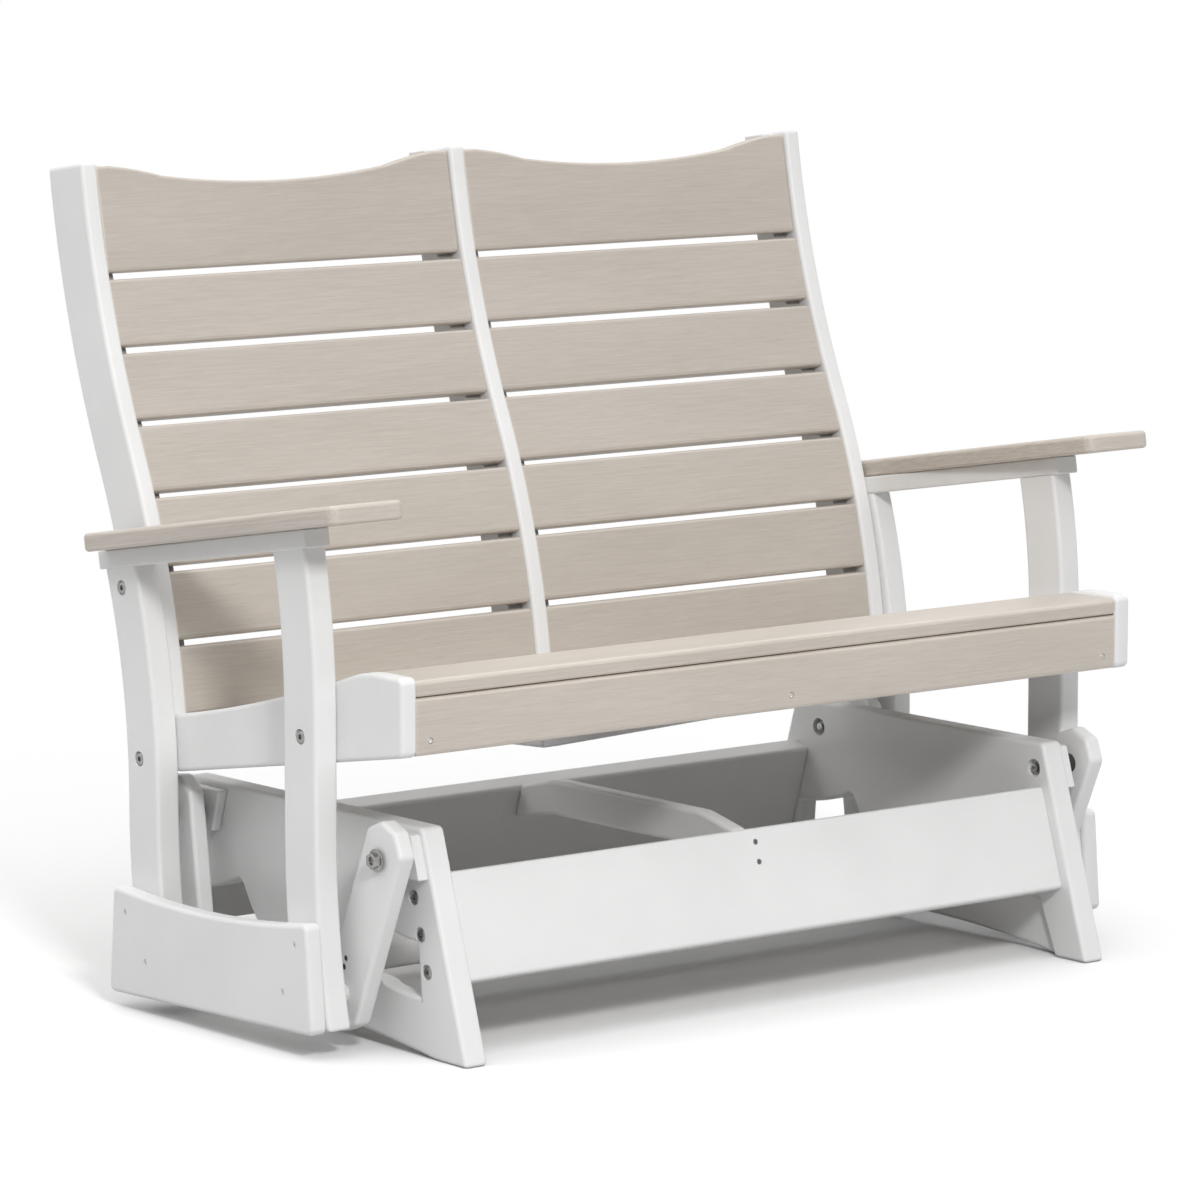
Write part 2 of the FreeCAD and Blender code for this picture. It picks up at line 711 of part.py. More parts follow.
def arm_post_outline(start, bend, low):
    wide = "arm_post_width"
    front_top = arm_height(f"({start} + {wide} / 2)", SUPPORT_DROP) + " + thin_board"
    return [
        bent_down(start, low),
        Arc(bent_down(start, f"({low} + arm_low_bend) / 2"), (start, "arm_low_bend")),
        (start, bend),
        Arc(bent_up(start, bend, f"(({front_top} + {bend}) / 2)"), bent_up(start, bend, f"({front_top})")),
        bent_up(start, bend, f"({front_top})", wide),
        Arc(bent_up(start, bend, f"(({front_top} + {bend}) / 2)", wide), (f"{start} + {wide}", bend)),
        (f"{start} + {wide}", "arm_low_bend"),
        Arc(bent_down(start, f"({low} + arm_low_bend) / 2", wide), bent_down(start, low, wide)),
    ]


def trim_top(body):
    """Cut an arm post along the underside of the arm support."""
    fore, aft = ARM_FRONT, f"({ARM_FRONT} + 2 * {ARM_LENGTH})"
    sketch = new_sketch(body, "YZ_Plane")
    draw_outline(sketch, [
        (fore, arm_height(fore, SUPPORT_DROP)), (aft, arm_height(aft, SUPPORT_DROP)),
        (aft, f"arm_front_height + {ARM_LENGTH}"), (fore, f"arm_front_height + {ARM_LENGTH}"),
    ])
    saw = body.newObject("PartDesign::Pocket", body.Name + "_saw")
    saw.Profile = sketch
    saw.Type = "ThroughAll"
    saw.Midplane = True
    doc.recompute()


for name, side in SIDES.items():
    outer = "thick_board" if side == RIGHT else None
    for end, bend in (("front", "arm_front_bend"), ("rear", "arm_rear_bend")):
        low = f"({LOWER_PIVOTS[end][1]} - arm_post_below)"
        outline = arm_post_outline(arm_start(end), bend, low)
        post = board(f"arm_post_{end}_{name}", outline, "thick_board")
        trim_top(post)
        drill(post, [LOWER_PIVOTS[end]], "bolt_radius + bolt_play")
        sink(post, [LOWER_PIVOTS[end]], "nut_recess_radius", "nut_recess", outer)
        put(post, x=low_x(side, ARM_INNER, ARM_OUTER))

# Seat sides, back posts and the centre support
POST_PLACES = {
    "left": ("-seat_clear_half - thin_board", "post_tail_side"),
    "center": ("-thin_board / 2", "post_tail_center"),
    "right": ("seat_clear_half", "post_tail_side"),
}
for name, (place, length) in POST_PLACES.items():
    post = board(f"back_post_{name}", post_outline(length), "thin_board")
    put(post, x=place)
for name, side in SIDES.items():
    panel = board(f"seat_side_{name}", SEAT_SIDE_OUTLINE, "thin_board")
    round_off(panel, "corner_round", near((SEAT_FRONT, SEAT_FRONT_LOW), (SEAT_FRONT, "seat_top")))
    put(panel, x=low_x(side, "seat_clear_half", ARM_INNER))

APRON_FRONT = f"({SEAT_FRONT} + apron_setback)"
APRON_REAR = f"({APRON_FRONT} + thin_board)"
APRON_LOW = "(seat_top - apron_drop)"
FRONT_SLAT_TOP = "(seat_top - slat_inset)"
REAR_REST = on_seat("seat_rear_slope", REST)
support = board(
    "seat_center_support",
    [
        (APRON_REAR, APRON_LOW),
        (f"{tail('post_tail_center', '0')[0]} - wood_fit", "seat_top - center_rear_drop"),
        (f"{post_front(REAR_REST[1])} - {BUTT}", REAR_REST[1]),
        REAR_REST,
        Arc(on_seat(SEAT_MIDDLE, REST), on_seat("seat_front_slope", REST)),
        (f"{on_seat('seat_front_slope', REST)[0]} - slat_inset", f"{FRONT_SLAT_TOP} - slat_board"),
        (APRON_REAR, f"{FRONT_SLAT_TOP} - slat_board"),
    ],
    "thin_board",
)
put(support, x="-thin_board / 2")

apron = bar("seat_apron", "0", "thin_board", "0", "apron_depth", "2 * seat_clear_half")
put(apron, "-seat_clear_half", APRON_FRONT, APRON_LOW)

cleats = []
CLEAT_LOW = f"{REST} + cleat_depth"
for name, side in SIDES.items():
    cleat = board(
        f"seat_cleat_{name}",
        [
            on_seat("seat_front_slope", REST),
            on_seat("seat_front_slope", CLEAT_LOW),
            Arc(on_seat(SEAT_MIDDLE, CLEAT_LOW), on_seat("seat_rear_slope", CLEAT_LOW)),
            on_seat("seat_rear_slope", REST),
            Arc(on_seat(SEAT_MIDDLE, REST), on_seat("seat_front_slope", REST)),
        ][1:],
        "thin_board",
    )
    cleats.append(put(cleat, x=low_x(side, "seat_clear_half - thin_board", "seat_clear_half")))
group("seat_cleats", cleats)

# Seat slats: a flat one over the apron, then a row laid on the hollow arc
NOSING = f"({SEAT_ARC_FRONT} - {APRON_FRONT} - nosing_gap)"
nosing = bar("seat_slat_front", "0", NOSING, "-slat_board", "0", "2 * seat_clear_half")
put(nosing, "-seat_clear_half", APRON_FRONT, FRONT_SLAT_TOP)
TURN = "(180 / pi)"
SEAT_SLATS = 5
SEAT_PITCH = f"({SEAT_BEND} * (seat_front_slope - seat_rear_slope) / {TURN} / {SEAT_SLATS})"
for number in range(SEAT_SLATS):
    travel = f"({number} + 0.5) * {SEAT_PITCH}"
    slope = f"(seat_front_slope - {TURN} * {travel} / {SEAT_BEND})"
    half = f"({SEAT_PITCH} - seat_slat_gap) / 2"
    slat = bar(f"seat_slat_{number + 2}", f"-{half}", half, "-slat_board", "0", "2 * seat_clear_half")
    put(slat, "-seat_clear_half", *on_seat(slope, "slat_inset"), f"-{slope}")

# Back slats: rows counted from the top, each row in two bays
HIGH_LENGTH = f"({BEND_HIGH} * (post_mid_lean - post_top_lean) / {TURN})"
LOW_LENGTH = f"({BEND_LOW} * (post_mid_lean - post_low_lean) / {TURN})"
BAY = "(seat_clear_half - thin_board / 2)"
BAY_STARTS = {"left": "-seat_clear_half", "right": "thin_board / 2"}
BACK_ROWS = 7
BACK_PITCH = f"(({HIGH_LENGTH} + {LOW_LENGTH} - top_slat_width - back_foot_clear) / ({BACK_ROWS} - 1))"
BACK_SLAT = f"({BACK_PITCH} - back_slat_gap)"


def on_back(travel, inset):
    """Point and lean a distance down the front edge from the top of the posts."""
    if value(travel) < value(HIGH_LENGTH):
        lean = f"(post_top_lean + {TURN} * ({travel}) / {BEND_HIGH})"
        return on_high(lean, inset), lean
    lean = f"(post_mid_lean - {TURN} * ({travel} - {HIGH_LENGTH}) / {BEND_LOW})"
    return on_low(lean, inset), lean


TOP_HALF = "top_slat_width / 2"
DIP = "top_slat_dip"


def bay_point(inward, height):
    """Matching points of the scalloped edge at both ends of a bay."""
    return (inward, height), (f"{BAY} - ({inward})", height)


horn_left, horn_right = bay_point("top_slat_horn", TOP_HALF)
swell_left, swell_right = bay_point("(top_slat_horn + top_slat_ogee) / 2 - 8", f"{TOP_HALF} - {DIP} * 0.17")
turn_left, turn_right = bay_point("top_slat_ogee", f"{TOP_HALF} - {DIP} * 0.55")
for name, start in BAY_STARTS.items():
    slat = board(
        f"back_top_slat_{name}",
        [
            ("0", f"-{TOP_HALF}"), (BAY, f"-{TOP_HALF}"), (BAY, TOP_HALF), horn_right,
            Arc(swell_right, turn_right),
            Arc((f"{BAY} / 2", f"{TOP_HALF} - {DIP}"), turn_left),
            Arc(swell_left, horn_left), ("0", TOP_HALF),
        ],
        "slat_board", "XZ_Plane", True,
    )
    place, lean = on_back(TOP_HALF, "back_slat_inset")
    put(slat, start, *place, f"-{lean}")


def row_travel(row):
    """Distance from the top of the posts down to the middle of a row of slats."""
    if row == 1:
        return TOP_HALF
    return f"(top_slat_width + ({row} - 1) * {BACK_PITCH} - {BACK_SLAT} / 2)"


for row in range(2, BACK_ROWS + 1):
    place, lean = on_back(row_travel(row), "back_slat_inset")
    half = f"{BACK_SLAT} / 2"
    pair = []
    for name, start in BAY_STARTS.items():
        slat = bar(f"slat_{row}_{name}", "0", "slat_board", f"-{half}", half, BAY)
        pair.append(put(slat, start, *place, f"-{lean}"))
    group(f"back_slat_row_{row}", pair)

# Cleats behind the back slats, one along each post side that faces a bay: the front edge has a
# flat seat for each slat, the rear edge follows the S-curve
CLEAT_FACE = "(back_slat_inset + slat_board + wood_fit)"
CLEAT_BACK = f"({CLEAT_FACE} + back_cleat_depth)"


def seat_flat(row, reach):
    """Point of the flat behind a row of slats, a reach above its middle."""
    (place_y, place_z), lean = on_back(row_travel(row), CLEAT_FACE)
    return f"{place_y} + {reach} * sin({lean})", f"{place_z} + {reach} * cos({lean})"


cleat_front = []
for row in range(BACK_ROWS, 0, -1):
    if row == 1:
        cleat_front += [seat_flat(row, f"-{TOP_HALF}"), seat_flat(row, f"({TOP_HALF} - back_cleat_clear)")]
    else:
        cleat_front += [seat_flat(row, f"-{BACK_SLAT} / 2"), seat_flat(row, f"{BACK_SLAT} / 2")]
CLEAT_TOP = f"(post_top_lean + {TURN} * back_cleat_clear / {BEND_HIGH})"
CLEAT_FOOT = on_back(f"({row_travel(BACK_ROWS)} + {BACK_SLAT} / 2)", "0")[1]
cleat_rear = [
    on_high(CLEAT_TOP, CLEAT_BACK),
    Arc(on_high(f"({CLEAT_TOP} + post_mid_lean) / 2", CLEAT_BACK), on_high("post_mid_lean", CLEAT_BACK)),
    Arc(on_low(f"({CLEAT_FOOT} + post_mid_lean) / 2", CLEAT_BACK), on_low(CLEAT_FOOT, CLEAT_BACK)),
]
back_cleats = []
for number, place in enumerate((
    "-seat_clear_half", "-thin_board / 2 - back_cleat_thick",
    "thin_board / 2", "seat_clear_half - back_cleat_thick",
)):
    cleat = board(f"back_cleat_{number}", cleat_front + cleat_rear, "back_cleat_thick")
    back_cleats.append(put(cleat, x=place))
group("back_cleats", back_cleats)

# Arm supports and armrests: drawn level from the front edge of the armrest, then sloped
REST_OUTER = f"({ARM_OUTER} + arm_reach_out)"
for name, side in SIDES.items():
    beam = board(
        f"arm_support_{name}",
        [
            ("support_start", "-2 * thin_board"), (SUPPORT_END, "-2 * thin_board"),
            (SUPPORT_END, "-thin_board"), ("support_start", "-thin_board"),
        ],
        "support_width",
    )
    beam_x = low_x(side, ARM_INNER, f"{ARM_INNER} + support_width")
    put(beam, beam_x, ARM_FRONT, "arm_front_height", "-arm_slope")
    rest = board(
        f"armrest_{name}",
        [
            (f"{side} * (seat_clear_half - arm_reach_in)", "0"), (f"{side} * {REST_OUTER}", "0"),
            (f"{side} * {REST_OUTER}", ARM_LENGTH), (f"{side} * ({ARM_INNER} + arm_rear_step)", ARM_LENGTH),
        ],
        "thin_board", "XY_Plane", True,
    )
    round_off(rest, "arm_corner", lambda edge: abs(edge.firstVertex().Z - edge.lastVertex().Z) > 1)
    put(rest, "0", ARM_FRONT, "arm_front_height", "-arm_slope")

# Lower boards that tie the arm posts over the lower pivots
TIE_FRONT = f"({LOWER_PIVOTS['front'][0]} - tie_front_reach)"
TIE_REAR = f"({LOWER_PIVOTS['rear'][0]} + tie_rear_reach)"
TIE_LEVEL = {end: place[1] for end, place in LOWER_PIVOTS.items()}
TIE_MIDDLE = (
    f"({TIE_REAR} + {TIE_FRONT}) / 2",
    f"({TIE_LEVEL['rear']} + {TIE_LEVEL['front']}) / 2 + tie_above - tie_sag",
)
TIE_OUTLINE = [
    (TIE_FRONT, f"{TIE_LEVEL['front']} - tie_below"), (TIE_REAR, f"{TIE_LEVEL['rear']} - tie_below"),
    (f"{TIE_REAR} - tie_flare", f"{TIE_LEVEL['rear']} + tie_above"),
    Arc(TIE_MIDDLE, (f"{TIE_FRONT} + tie_flare", f"{TIE_LEVEL['front']} + tie_above")),
]
for name, side in SIDES.items():
    tie = board(f"lower_board_{name}", TIE_OUTLINE, "thin_board")
    round_off(tie, "corner_round", across)
    put(tie, x=low_x(side, ARM_OUTER, TIE_OUTER))

doc.recompute()

# Every top-level piece is written to its own file
used = {member for item in doc.Objects for member in item.OutList}
os.makedirs("parts", exist_ok=True)
for item in doc.Objects:
    if {"Invalid", "Error"} & set(item.State):
        raise RuntimeError(f"{item.Label} did not compute: {item.State}")
    solid_kinds = ("PartDesign::Body", "Part::Compound")
    if item.TypeId not in solid_kinds or item in used:
        continue
    if item.Shape.isNull() or not item.Shape.isValid():
        raise RuntimeError(f"{item.Label} has no valid shape")
    item.Shape.exportStep(f"parts/{item.Label}.step")
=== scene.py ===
# %% [markdown]
# # A porch glider of plastic boards
# The glider is a two-seat bench that hangs on four swinging links from a standing base. All of it is
# sawn from solid coloured plastic boards: white for the frame, a warm grey-beige for everything that
# one sits on or leans against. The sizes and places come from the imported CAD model, which is loaded
# first and never changed; every visible board is then made from a copy of its CAD piece.

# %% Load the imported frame
import json
import math

import bmesh
import bpy
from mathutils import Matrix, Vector

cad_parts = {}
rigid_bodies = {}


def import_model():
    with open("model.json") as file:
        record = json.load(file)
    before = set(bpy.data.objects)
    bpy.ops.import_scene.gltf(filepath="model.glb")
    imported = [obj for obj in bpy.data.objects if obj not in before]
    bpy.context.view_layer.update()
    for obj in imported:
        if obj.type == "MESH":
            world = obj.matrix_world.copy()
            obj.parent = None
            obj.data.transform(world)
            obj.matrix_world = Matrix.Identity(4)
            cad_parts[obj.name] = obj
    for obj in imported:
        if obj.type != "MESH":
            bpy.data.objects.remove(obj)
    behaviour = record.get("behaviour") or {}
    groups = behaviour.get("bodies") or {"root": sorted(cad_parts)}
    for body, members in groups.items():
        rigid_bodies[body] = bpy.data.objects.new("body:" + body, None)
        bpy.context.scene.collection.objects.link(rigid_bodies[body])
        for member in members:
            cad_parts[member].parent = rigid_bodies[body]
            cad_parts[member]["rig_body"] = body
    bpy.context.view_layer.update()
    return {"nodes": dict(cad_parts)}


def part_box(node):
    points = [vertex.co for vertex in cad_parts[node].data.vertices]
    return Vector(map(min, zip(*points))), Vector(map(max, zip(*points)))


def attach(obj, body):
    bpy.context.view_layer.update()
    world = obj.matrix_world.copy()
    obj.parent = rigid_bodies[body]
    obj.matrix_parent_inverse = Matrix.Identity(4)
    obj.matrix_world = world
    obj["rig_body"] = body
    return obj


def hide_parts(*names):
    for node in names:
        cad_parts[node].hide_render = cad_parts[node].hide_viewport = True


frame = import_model()
MM = 0.001
print("CAD pieces loaded:", len(frame["nodes"]))

# %% [markdown]
# ## Picking pieces up and putting them down
# Operators act on whatever is selected, and the loader leaves every CAD piece selected. Small helpers
# keep that in order: one lets go of everything, one picks up the pieces that it is given, and one
# applies a modifier to a piece, which makes the modifier's result the piece's own mesh.


# %% Pick up and let go
def let_go():
    """Leave edit mode and deselect everything."""
    if bpy.context.mode != "OBJECT":
        bpy.ops.object.mode_set(mode="OBJECT")
    bpy.ops.object.select_all(action="DESELECT")


def pick_up(*pieces):
    """Select these pieces only; the last one is the active one."""
    let_go()
    for piece in pieces:
        piece.select_set(True)
        bpy.context.view_layer.objects.active = piece


def apply_modifier(piece, modifier):
    """Apply one modifier of a piece."""
    pick_up(piece)
    bpy.ops.object.modifier_apply(modifier=modifier.name)


let_go()
print("nothing is selected:", not bpy.context.selected_objects)

# %% [markdown]
# ## The finishes as node materials
# A board's finish could be one flat colour, but real recycled-plastic boards have a fine structure
# that runs along the extruder. It is made here from noise that is stretched along the board, read in
# Object coordinates, which are the same as world coordinates because every piece sits at the origin.
# A Mapping node of the Texture kind turns and stretches the noise, so its scale is the size of one
# grain in metres.

# %% Start a finish and give it noise
NOISE_RANGE = (0.3, 0.7)  # nearly all values of a noise lie in it


def new_finish(name):
    """A new node material, with its node tree and its shader."""
    finish = bpy.data.materials.new(name)
    finish.use_nodes = True
    tree = finish.node_tree
    return finish, tree, tree.nodes["Principled BSDF"]


def grain(tree, size, turn=(0, 0, 0), detail=2.0):
    """Noise with grains of a size in metres, in a turned frame."""
    place = tree.nodes.new("ShaderNodeTexCoord")
    mapping = tree.nodes.new("ShaderNodeMapping")
    mapping.vector_type = "TEXTURE"
    mapping.inputs["Rotation"].default_value = turn
    mapping.inputs["Scale"].default_value = size
    noise = tree.nodes.new("ShaderNodeTexNoise")
    noise.inputs["Scale"].default_value = 1.0
    noise.inputs["Detail"].default_value = detail
    noise.inputs["Roughness"].default_value = 0.55
    tree.links.new(place.outputs["Object"], mapping.inputs["Vector"])
    tree.links.new(mapping.outputs["Vector"], noise.inputs["Vector"])
    return noise.outputs["Fac"]


def spread(tree, value, onto, out_of=NOISE_RANGE):
    """Stretch one range of a value onto another."""
    ranger = tree.nodes.new("ShaderNodeMapRange")
    for socket, number in zip(("From Min", "From Max", "To Min", "To Max"), (*out_of, *onto)):
        ranger.inputs[socket].default_value = number
    tree.links.new(value, ranger.inputs["Value"])
    return ranger.outputs["Result"]


print("noise helpers are ready")


# %% Mix colours, calculate and raise a surface
def feed(tree, source, socket):
    """Lead another socket or a plain value into a socket."""
    if isinstance(source, bpy.types.NodeSocket):
        tree.links.new(source, socket)
    else:
        socket.default_value = source


def blend_colors(tree, amount, first, second, kind="MIX"):
    """Mix two colours, each a socket or a plain colour, by an amount."""
    mixer = tree.nodes.new("ShaderNodeMix")
    mixer.data_type = "RGBA"
    mixer.blend_type = kind
    for name, source in (("Factor_Float", amount), ("A_Color", first), ("B_Color", second)):
        feed(tree, source, next(s for s in mixer.inputs if s.identifier == name))
    return next(s for s in mixer.outputs if s.identifier == "Result_Color")


def calculate(tree, first, second, operation="ADD"):
    """Add two values, each a socket or a number, or work with them in another way."""
    node = tree.nodes.new("ShaderNodeMath")
    node.operation = operation
    for socket, source in zip(node.inputs, (first, second)):
        feed(tree, source, socket)
    return node.outputs["Value"]


def relief(tree, shader, height, strength, depth):
    """Bump from a height value."""
    bump = tree.nodes.new("ShaderNodeBump")
    bump.inputs["Strength"].default_value = strength
    bump.inputs["Distance"].default_value = depth
    tree.links.new(height, bump.inputs["Height"])
    tree.links.new(bump.outputs["Normal"], shader.inputs["Normal"])


print("finish helpers are ready")

# %% [markdown]
# ## White board
# The frame boards are white right through, with a satin skin that has a faint pebble. A photograph
# shows them almost even, so the colour moves by a few percent only: a slow cloud, and a fine speckle.

# %% White board finish
WHITE_LOW, WHITE_HIGH = (0.775, 0.775, 0.772, 1), (0.840, 0.840, 0.837, 1)
WHITE_CLOUD, WHITE_PEBBLE = (0.16, 0.16, 0.16), (0.0022, 0.0022, 0.0022)
BOARD_IOR = 1.49
white_board, tree, shader = new_finish("white_board_satin")
cloud = grain(tree, WHITE_CLOUD)
speckle = grain(tree, WHITE_PEBBLE)
mottle = calculate(tree, spread(tree, cloud, (0.15, 0.85)), spread(tree, speckle, (-0.15, 0.15)))
tree.links.new(blend_colors(tree, mottle, WHITE_LOW, WHITE_HIGH), shader.inputs["Base Color"])
tree.links.new(spread(tree, speckle, (0.38, 0.50)), shader.inputs["Roughness"])
shader.inputs["IOR"].default_value = BOARD_IOR
relief(tree, shader, speckle, strength=0.12, depth=0.3 * MM)
print("made", white_board.name)

# %% [markdown]
# ## Grey-beige board with a lengthwise grain
# These boards are embossed and streaked along their length like planed wood. The streaks are noise
# with grains 7 cm long and 2 mm wide, finer hairs, and a slow cloud. Each board also has its own tone,
# a number stored on its mesh: neighbours differ because no two boards come out of the extruder quite
# alike, the back boards are set darker than the seat as painted shade, and the rounds are set paler
# as a painted highlight. Slats run across the seat, along X; armrests run front to rear on a slope
# and show longer, stronger streaks, so the grain is built by a function and turned for them.

# %% Grey-beige finish
BEIGE_DARK, BEIGE_LIGHT = (0.510, 0.460, 0.406, 1), (0.626, 0.572, 0.513, 1)
STREAK_WIDTH = 0.0022
HAIRS, BEIGE_CLOUD = (0.022, 0.0008, 0.0008), (0.40, 0.08, 0.08)
STREAK_RANGE = (0.25, 0.75)
ARM_TURN = (0, math.radians(9.2), math.radians(90))  # the armrests' slope, and front to rear


def beige_finish(name, turn, length, contrast):
    """A streaked board whose grain has a length and runs along X before it is turned."""
    finish, tree, shader = new_finish(name)
    streaks = grain(tree, (length, STREAK_WIDTH, STREAK_WIDTH), turn, detail=3.0)
    hairs = grain(tree, HAIRS, turn)
    cloud = grain(tree, BEIGE_CLOUD, turn, detail=1.0)
    tone = spread(tree, streaks, (0.5 - contrast, 0.5 + contrast), STREAK_RANGE)
    tone = calculate(tree, tone, spread(tree, hairs, (-0.25, 0.25), STREAK_RANGE))
    tone = calculate(tree, tone, spread(tree, cloud, (-0.15, 0.15)))
    streaked = blend_colors(tree, tone, BEIGE_DARK, BEIGE_LIGHT)
    # the stored tone holds the board's own tone, painted shade on the back and a painted highlight on the
    # rounds
    board_tone = tree.nodes.new("ShaderNodeAttribute")
    board_tone.attribute_name = "board_tone"
    toned = blend_colors(tree, 1.0, streaked, board_tone.outputs["Color"], "MULTIPLY")
    tree.links.new(toned, shader.inputs["Base Color"])
    tree.links.new(spread(tree, streaks, (0.34, 0.46)), shader.inputs["Roughness"])
    shader.inputs["IOR"].default_value = BOARD_IOR
    relief(tree, shader, calculate(tree, streaks, hairs), strength=0.25, depth=0.4 * MM)
    return finish


beige_across = beige_finish("beige_board_across", (0, 0, 0), length=0.070, contrast=0.35)
beige_along = beige_finish("beige_board_along", ARM_TURN, length=0.140, contrast=0.70)
print("made", beige_across.name, "and", beige_along.name)

# %% [markdown]
# ## Cleat board and bearing plastic
# The cleats behind the slats are given a dark grey body as painted shade, for in the gaps of the back
# they stand in shade, and a pale colour above a height as painted light on their ends, which stand
# over the scalloped tops in the light. The bushes in the upper ends of the links look black, and beside
# the lower ends nothing dark is seen. Each could be two materials, but both kinds change with height
# alone: one function makes a speckled plastic that turns to another colour between two heights.

# %% Cleat and bush finishes
PLASTIC_PEBBLE = (0.003, 0.003, 0.003)
# the cleats' dark grey is painted shade, and the pale colour above these heights is painted light
CLEAT_SHADE_LOW, CLEAT_SHADE_HIGH, CLEAT_LIT_END = (0.390, 0.375, 0.355, 1), (0.460, 0.445, 0.422, 1), (0.80, 0.79, 0.775, 1)
CLEAT_LIT_HEIGHTS = (1.080, 1.095)
BUSH_LOW, BUSH_HIGH, BUSH_DARK = (0.66, 0.66, 0.65, 1), (0.74, 0.74, 0.73, 1), (0.026, 0.026, 0.028, 1)
BUSH_TURNS = (0.150, 0.160)


def two_tone_plastic(name, low, high, above, turns, rough):
    """A speckled plastic that turns to the colour above between two heights."""
    finish, tree, shader = new_finish(name)
    speckle = grain(tree, PLASTIC_PEBBLE)
    below = blend_colors(tree, spread(tree, speckle, (0, 1)), low, high)
    place = tree.nodes.new("ShaderNodeTexCoord")
    parts = tree.nodes.new("ShaderNodeSeparateXYZ")
    tree.links.new(place.outputs["Object"], parts.inputs["Vector"])
    turned = spread(tree, parts.outputs["Z"], (0, 1), turns)
    tree.links.new(blend_colors(tree, turned, below, above), shader.inputs["Base Color"])
    tree.links.new(spread(tree, speckle, (rough - 0.06, rough + 0.06)), shader.inputs["Roughness"])
    relief(tree, shader, speckle, strength=0.15, depth=0.3 * MM)
    return finish


# the cleat finish: painted shade below, painted light on the ends above
cleat_board = two_tone_plastic("cleat_board_grey", CLEAT_SHADE_LOW, CLEAT_SHADE_HIGH, CLEAT_LIT_END, CLEAT_LIT_HEIGHTS, rough=0.55)
bearing_plastic = two_tone_plastic("bearing_plastic", BUSH_LOW, BUSH_HIGH, BUSH_DARK, BUSH_TURNS, rough=0.40)
print("made", cleat_board.name, "and", bearing_plastic.name)

# %% [markdown]
# ## Steel
# The bolts are stainless steel, and the screws bright or coated steel. All are metallic shaders with a
# fine streaky roughness, and differ only in how light and how rough they are.

# %% Steel finishes
BRUSHED = (0.012, 0.0006, 0.0006)


def metal(name, low, high, rough):
    """A metal between two greys."""
    finish, tree, shader = new_finish(name)
    brush = grain(tree, BRUSHED, detail=3.0)
    tree.links.new(blend_colors(tree, brush, low, high), shader.inputs["Base Color"])
    tree.links.new(spread(tree, brush, (rough - 0.07, rough + 0.07)), shader.inputs["Roughness"])
    shader.inputs["Metallic"].default_value = 1.0
    return finish


steel = metal("stainless_steel", (0.24, 0.237, 0.233, 1), (0.40, 0.396, 0.388, 1), rough=0.26)
bright_steel = metal("bright_steel", (0.50, 0.495, 0.485, 1), (0.66, 0.655, 0.645, 1), rough=0.34)
coated_steel = metal("coated_steel", (0.13, 0.13, 0.128, 1), (0.21, 0.21, 0.205, 1), rough=0.38)
print("made", steel.name, bright_steel.name, coated_steel.name)

# %% [markdown]
# ## From a CAD piece to a board
# Each board could be drawn again from a cube, but its outline is already exact in the CAD piece. A
# copy of that mesh is loose triangles, so its doubles are merged and its flat faces dissolved into
# whole ones. Later steps select corners, edges or faces of the copy by a test of their place.

# %% Copy a CAD piece and make its faces whole
SAME_PLACE = 0.00001
SAME_PLANE = math.radians(0.05)


def board_from_cad(node):
    """A copy of a CAD piece with whole faces and no finish."""
    mesh = frame["nodes"][node].data.copy()
    mesh.materials.clear()
    board = bpy.data.objects.new(node + "_board", mesh)
    bpy.context.scene.collection.objects.link(board)
    pick_up(board)
    bpy.ops.mesh.customdata_custom_splitnormals_clear()
    bpy.ops.object.mode_set(mode="EDIT")
    bpy.ops.mesh.select_all(action="SELECT")
    bpy.ops.mesh.remove_doubles(threshold=SAME_PLACE)
    bpy.ops.mesh.dissolve_limited(angle_limit=SAME_PLANE)
    bpy.ops.object.mode_set(mode="OBJECT")
    return board


def mark(piece, kind, wanted):
    """Select the corners, edges or faces of a piece, open in edit mode, that pass a test."""
    bpy.ops.mesh.select_all(action="DESELECT")
    bpy.ops.mesh.select_mode(type=kind)
    shape = bmesh.from_edit_mesh(piece.data)
    parts = {"VERT": shape.verts, "EDGE": shape.edges, "FACE": shape.faces}[kind]
    chosen = [part for part in parts if wanted(part)]
    for part in chosen:
        part.select_set(True)
    bmesh.update_edit_mesh(piece.data)
    return len(chosen)


print("copying helpers are ready")

# %% [markdown]
# ## Rounding the edges
# A router rounds the edges of the real boards. A Bevel modifier could round every sharp edge at once,
# but the rims of the pivot holes and some glued edges have to stay, so edges are picked by a test and
# rounded with the bevel operator. On the upright shaped boards the two big sides have many corners,
# and a wide bevel would slide along the edges that divide them and fold the face over. So each side
# first gets a border of even width: it is inset, its inside is deleted, and the hole is filled anew.
# The bevel then stays within the border.

# %% Border the sides of an upright board
UPRIGHT = 0.06  # a board thinner than this from left to right stands upright
BORDER = 6 * MM
TOUCH = 0.1 * MM


def border_sides(board):
    """Lay a border of even width round both sides of an upright board and fill the rest anew."""
    pick_up(board)
    bpy.ops.object.mode_set(mode="EDIT")
    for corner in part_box(board.name.removesuffix("_board")):
        mark(board, "FACE", lambda face: all(abs(vert.co.x - corner.x) < TOUCH for vert in face.verts))
        bpy.ops.mesh.inset(thickness=BORDER, use_even_offset=True)
        bpy.ops.mesh.delete(type="ONLY_FACE")
        if mark(board, "EDGE", lambda edge: edge.is_wire):
            bpy.ops.mesh.delete(type="EDGE")
        mark(board, "EDGE", lambda edge: edge.is_boundary)
        bpy.ops.mesh.fill(use_beauty=True)
    bpy.ops.mesh.select_all(action="SELECT")
    bpy.ops.mesh.normals_make_consistent(inside=False)
    bpy.ops.object.mode_set(mode="OBJECT")


print("borders are", BORDER, "m wide")

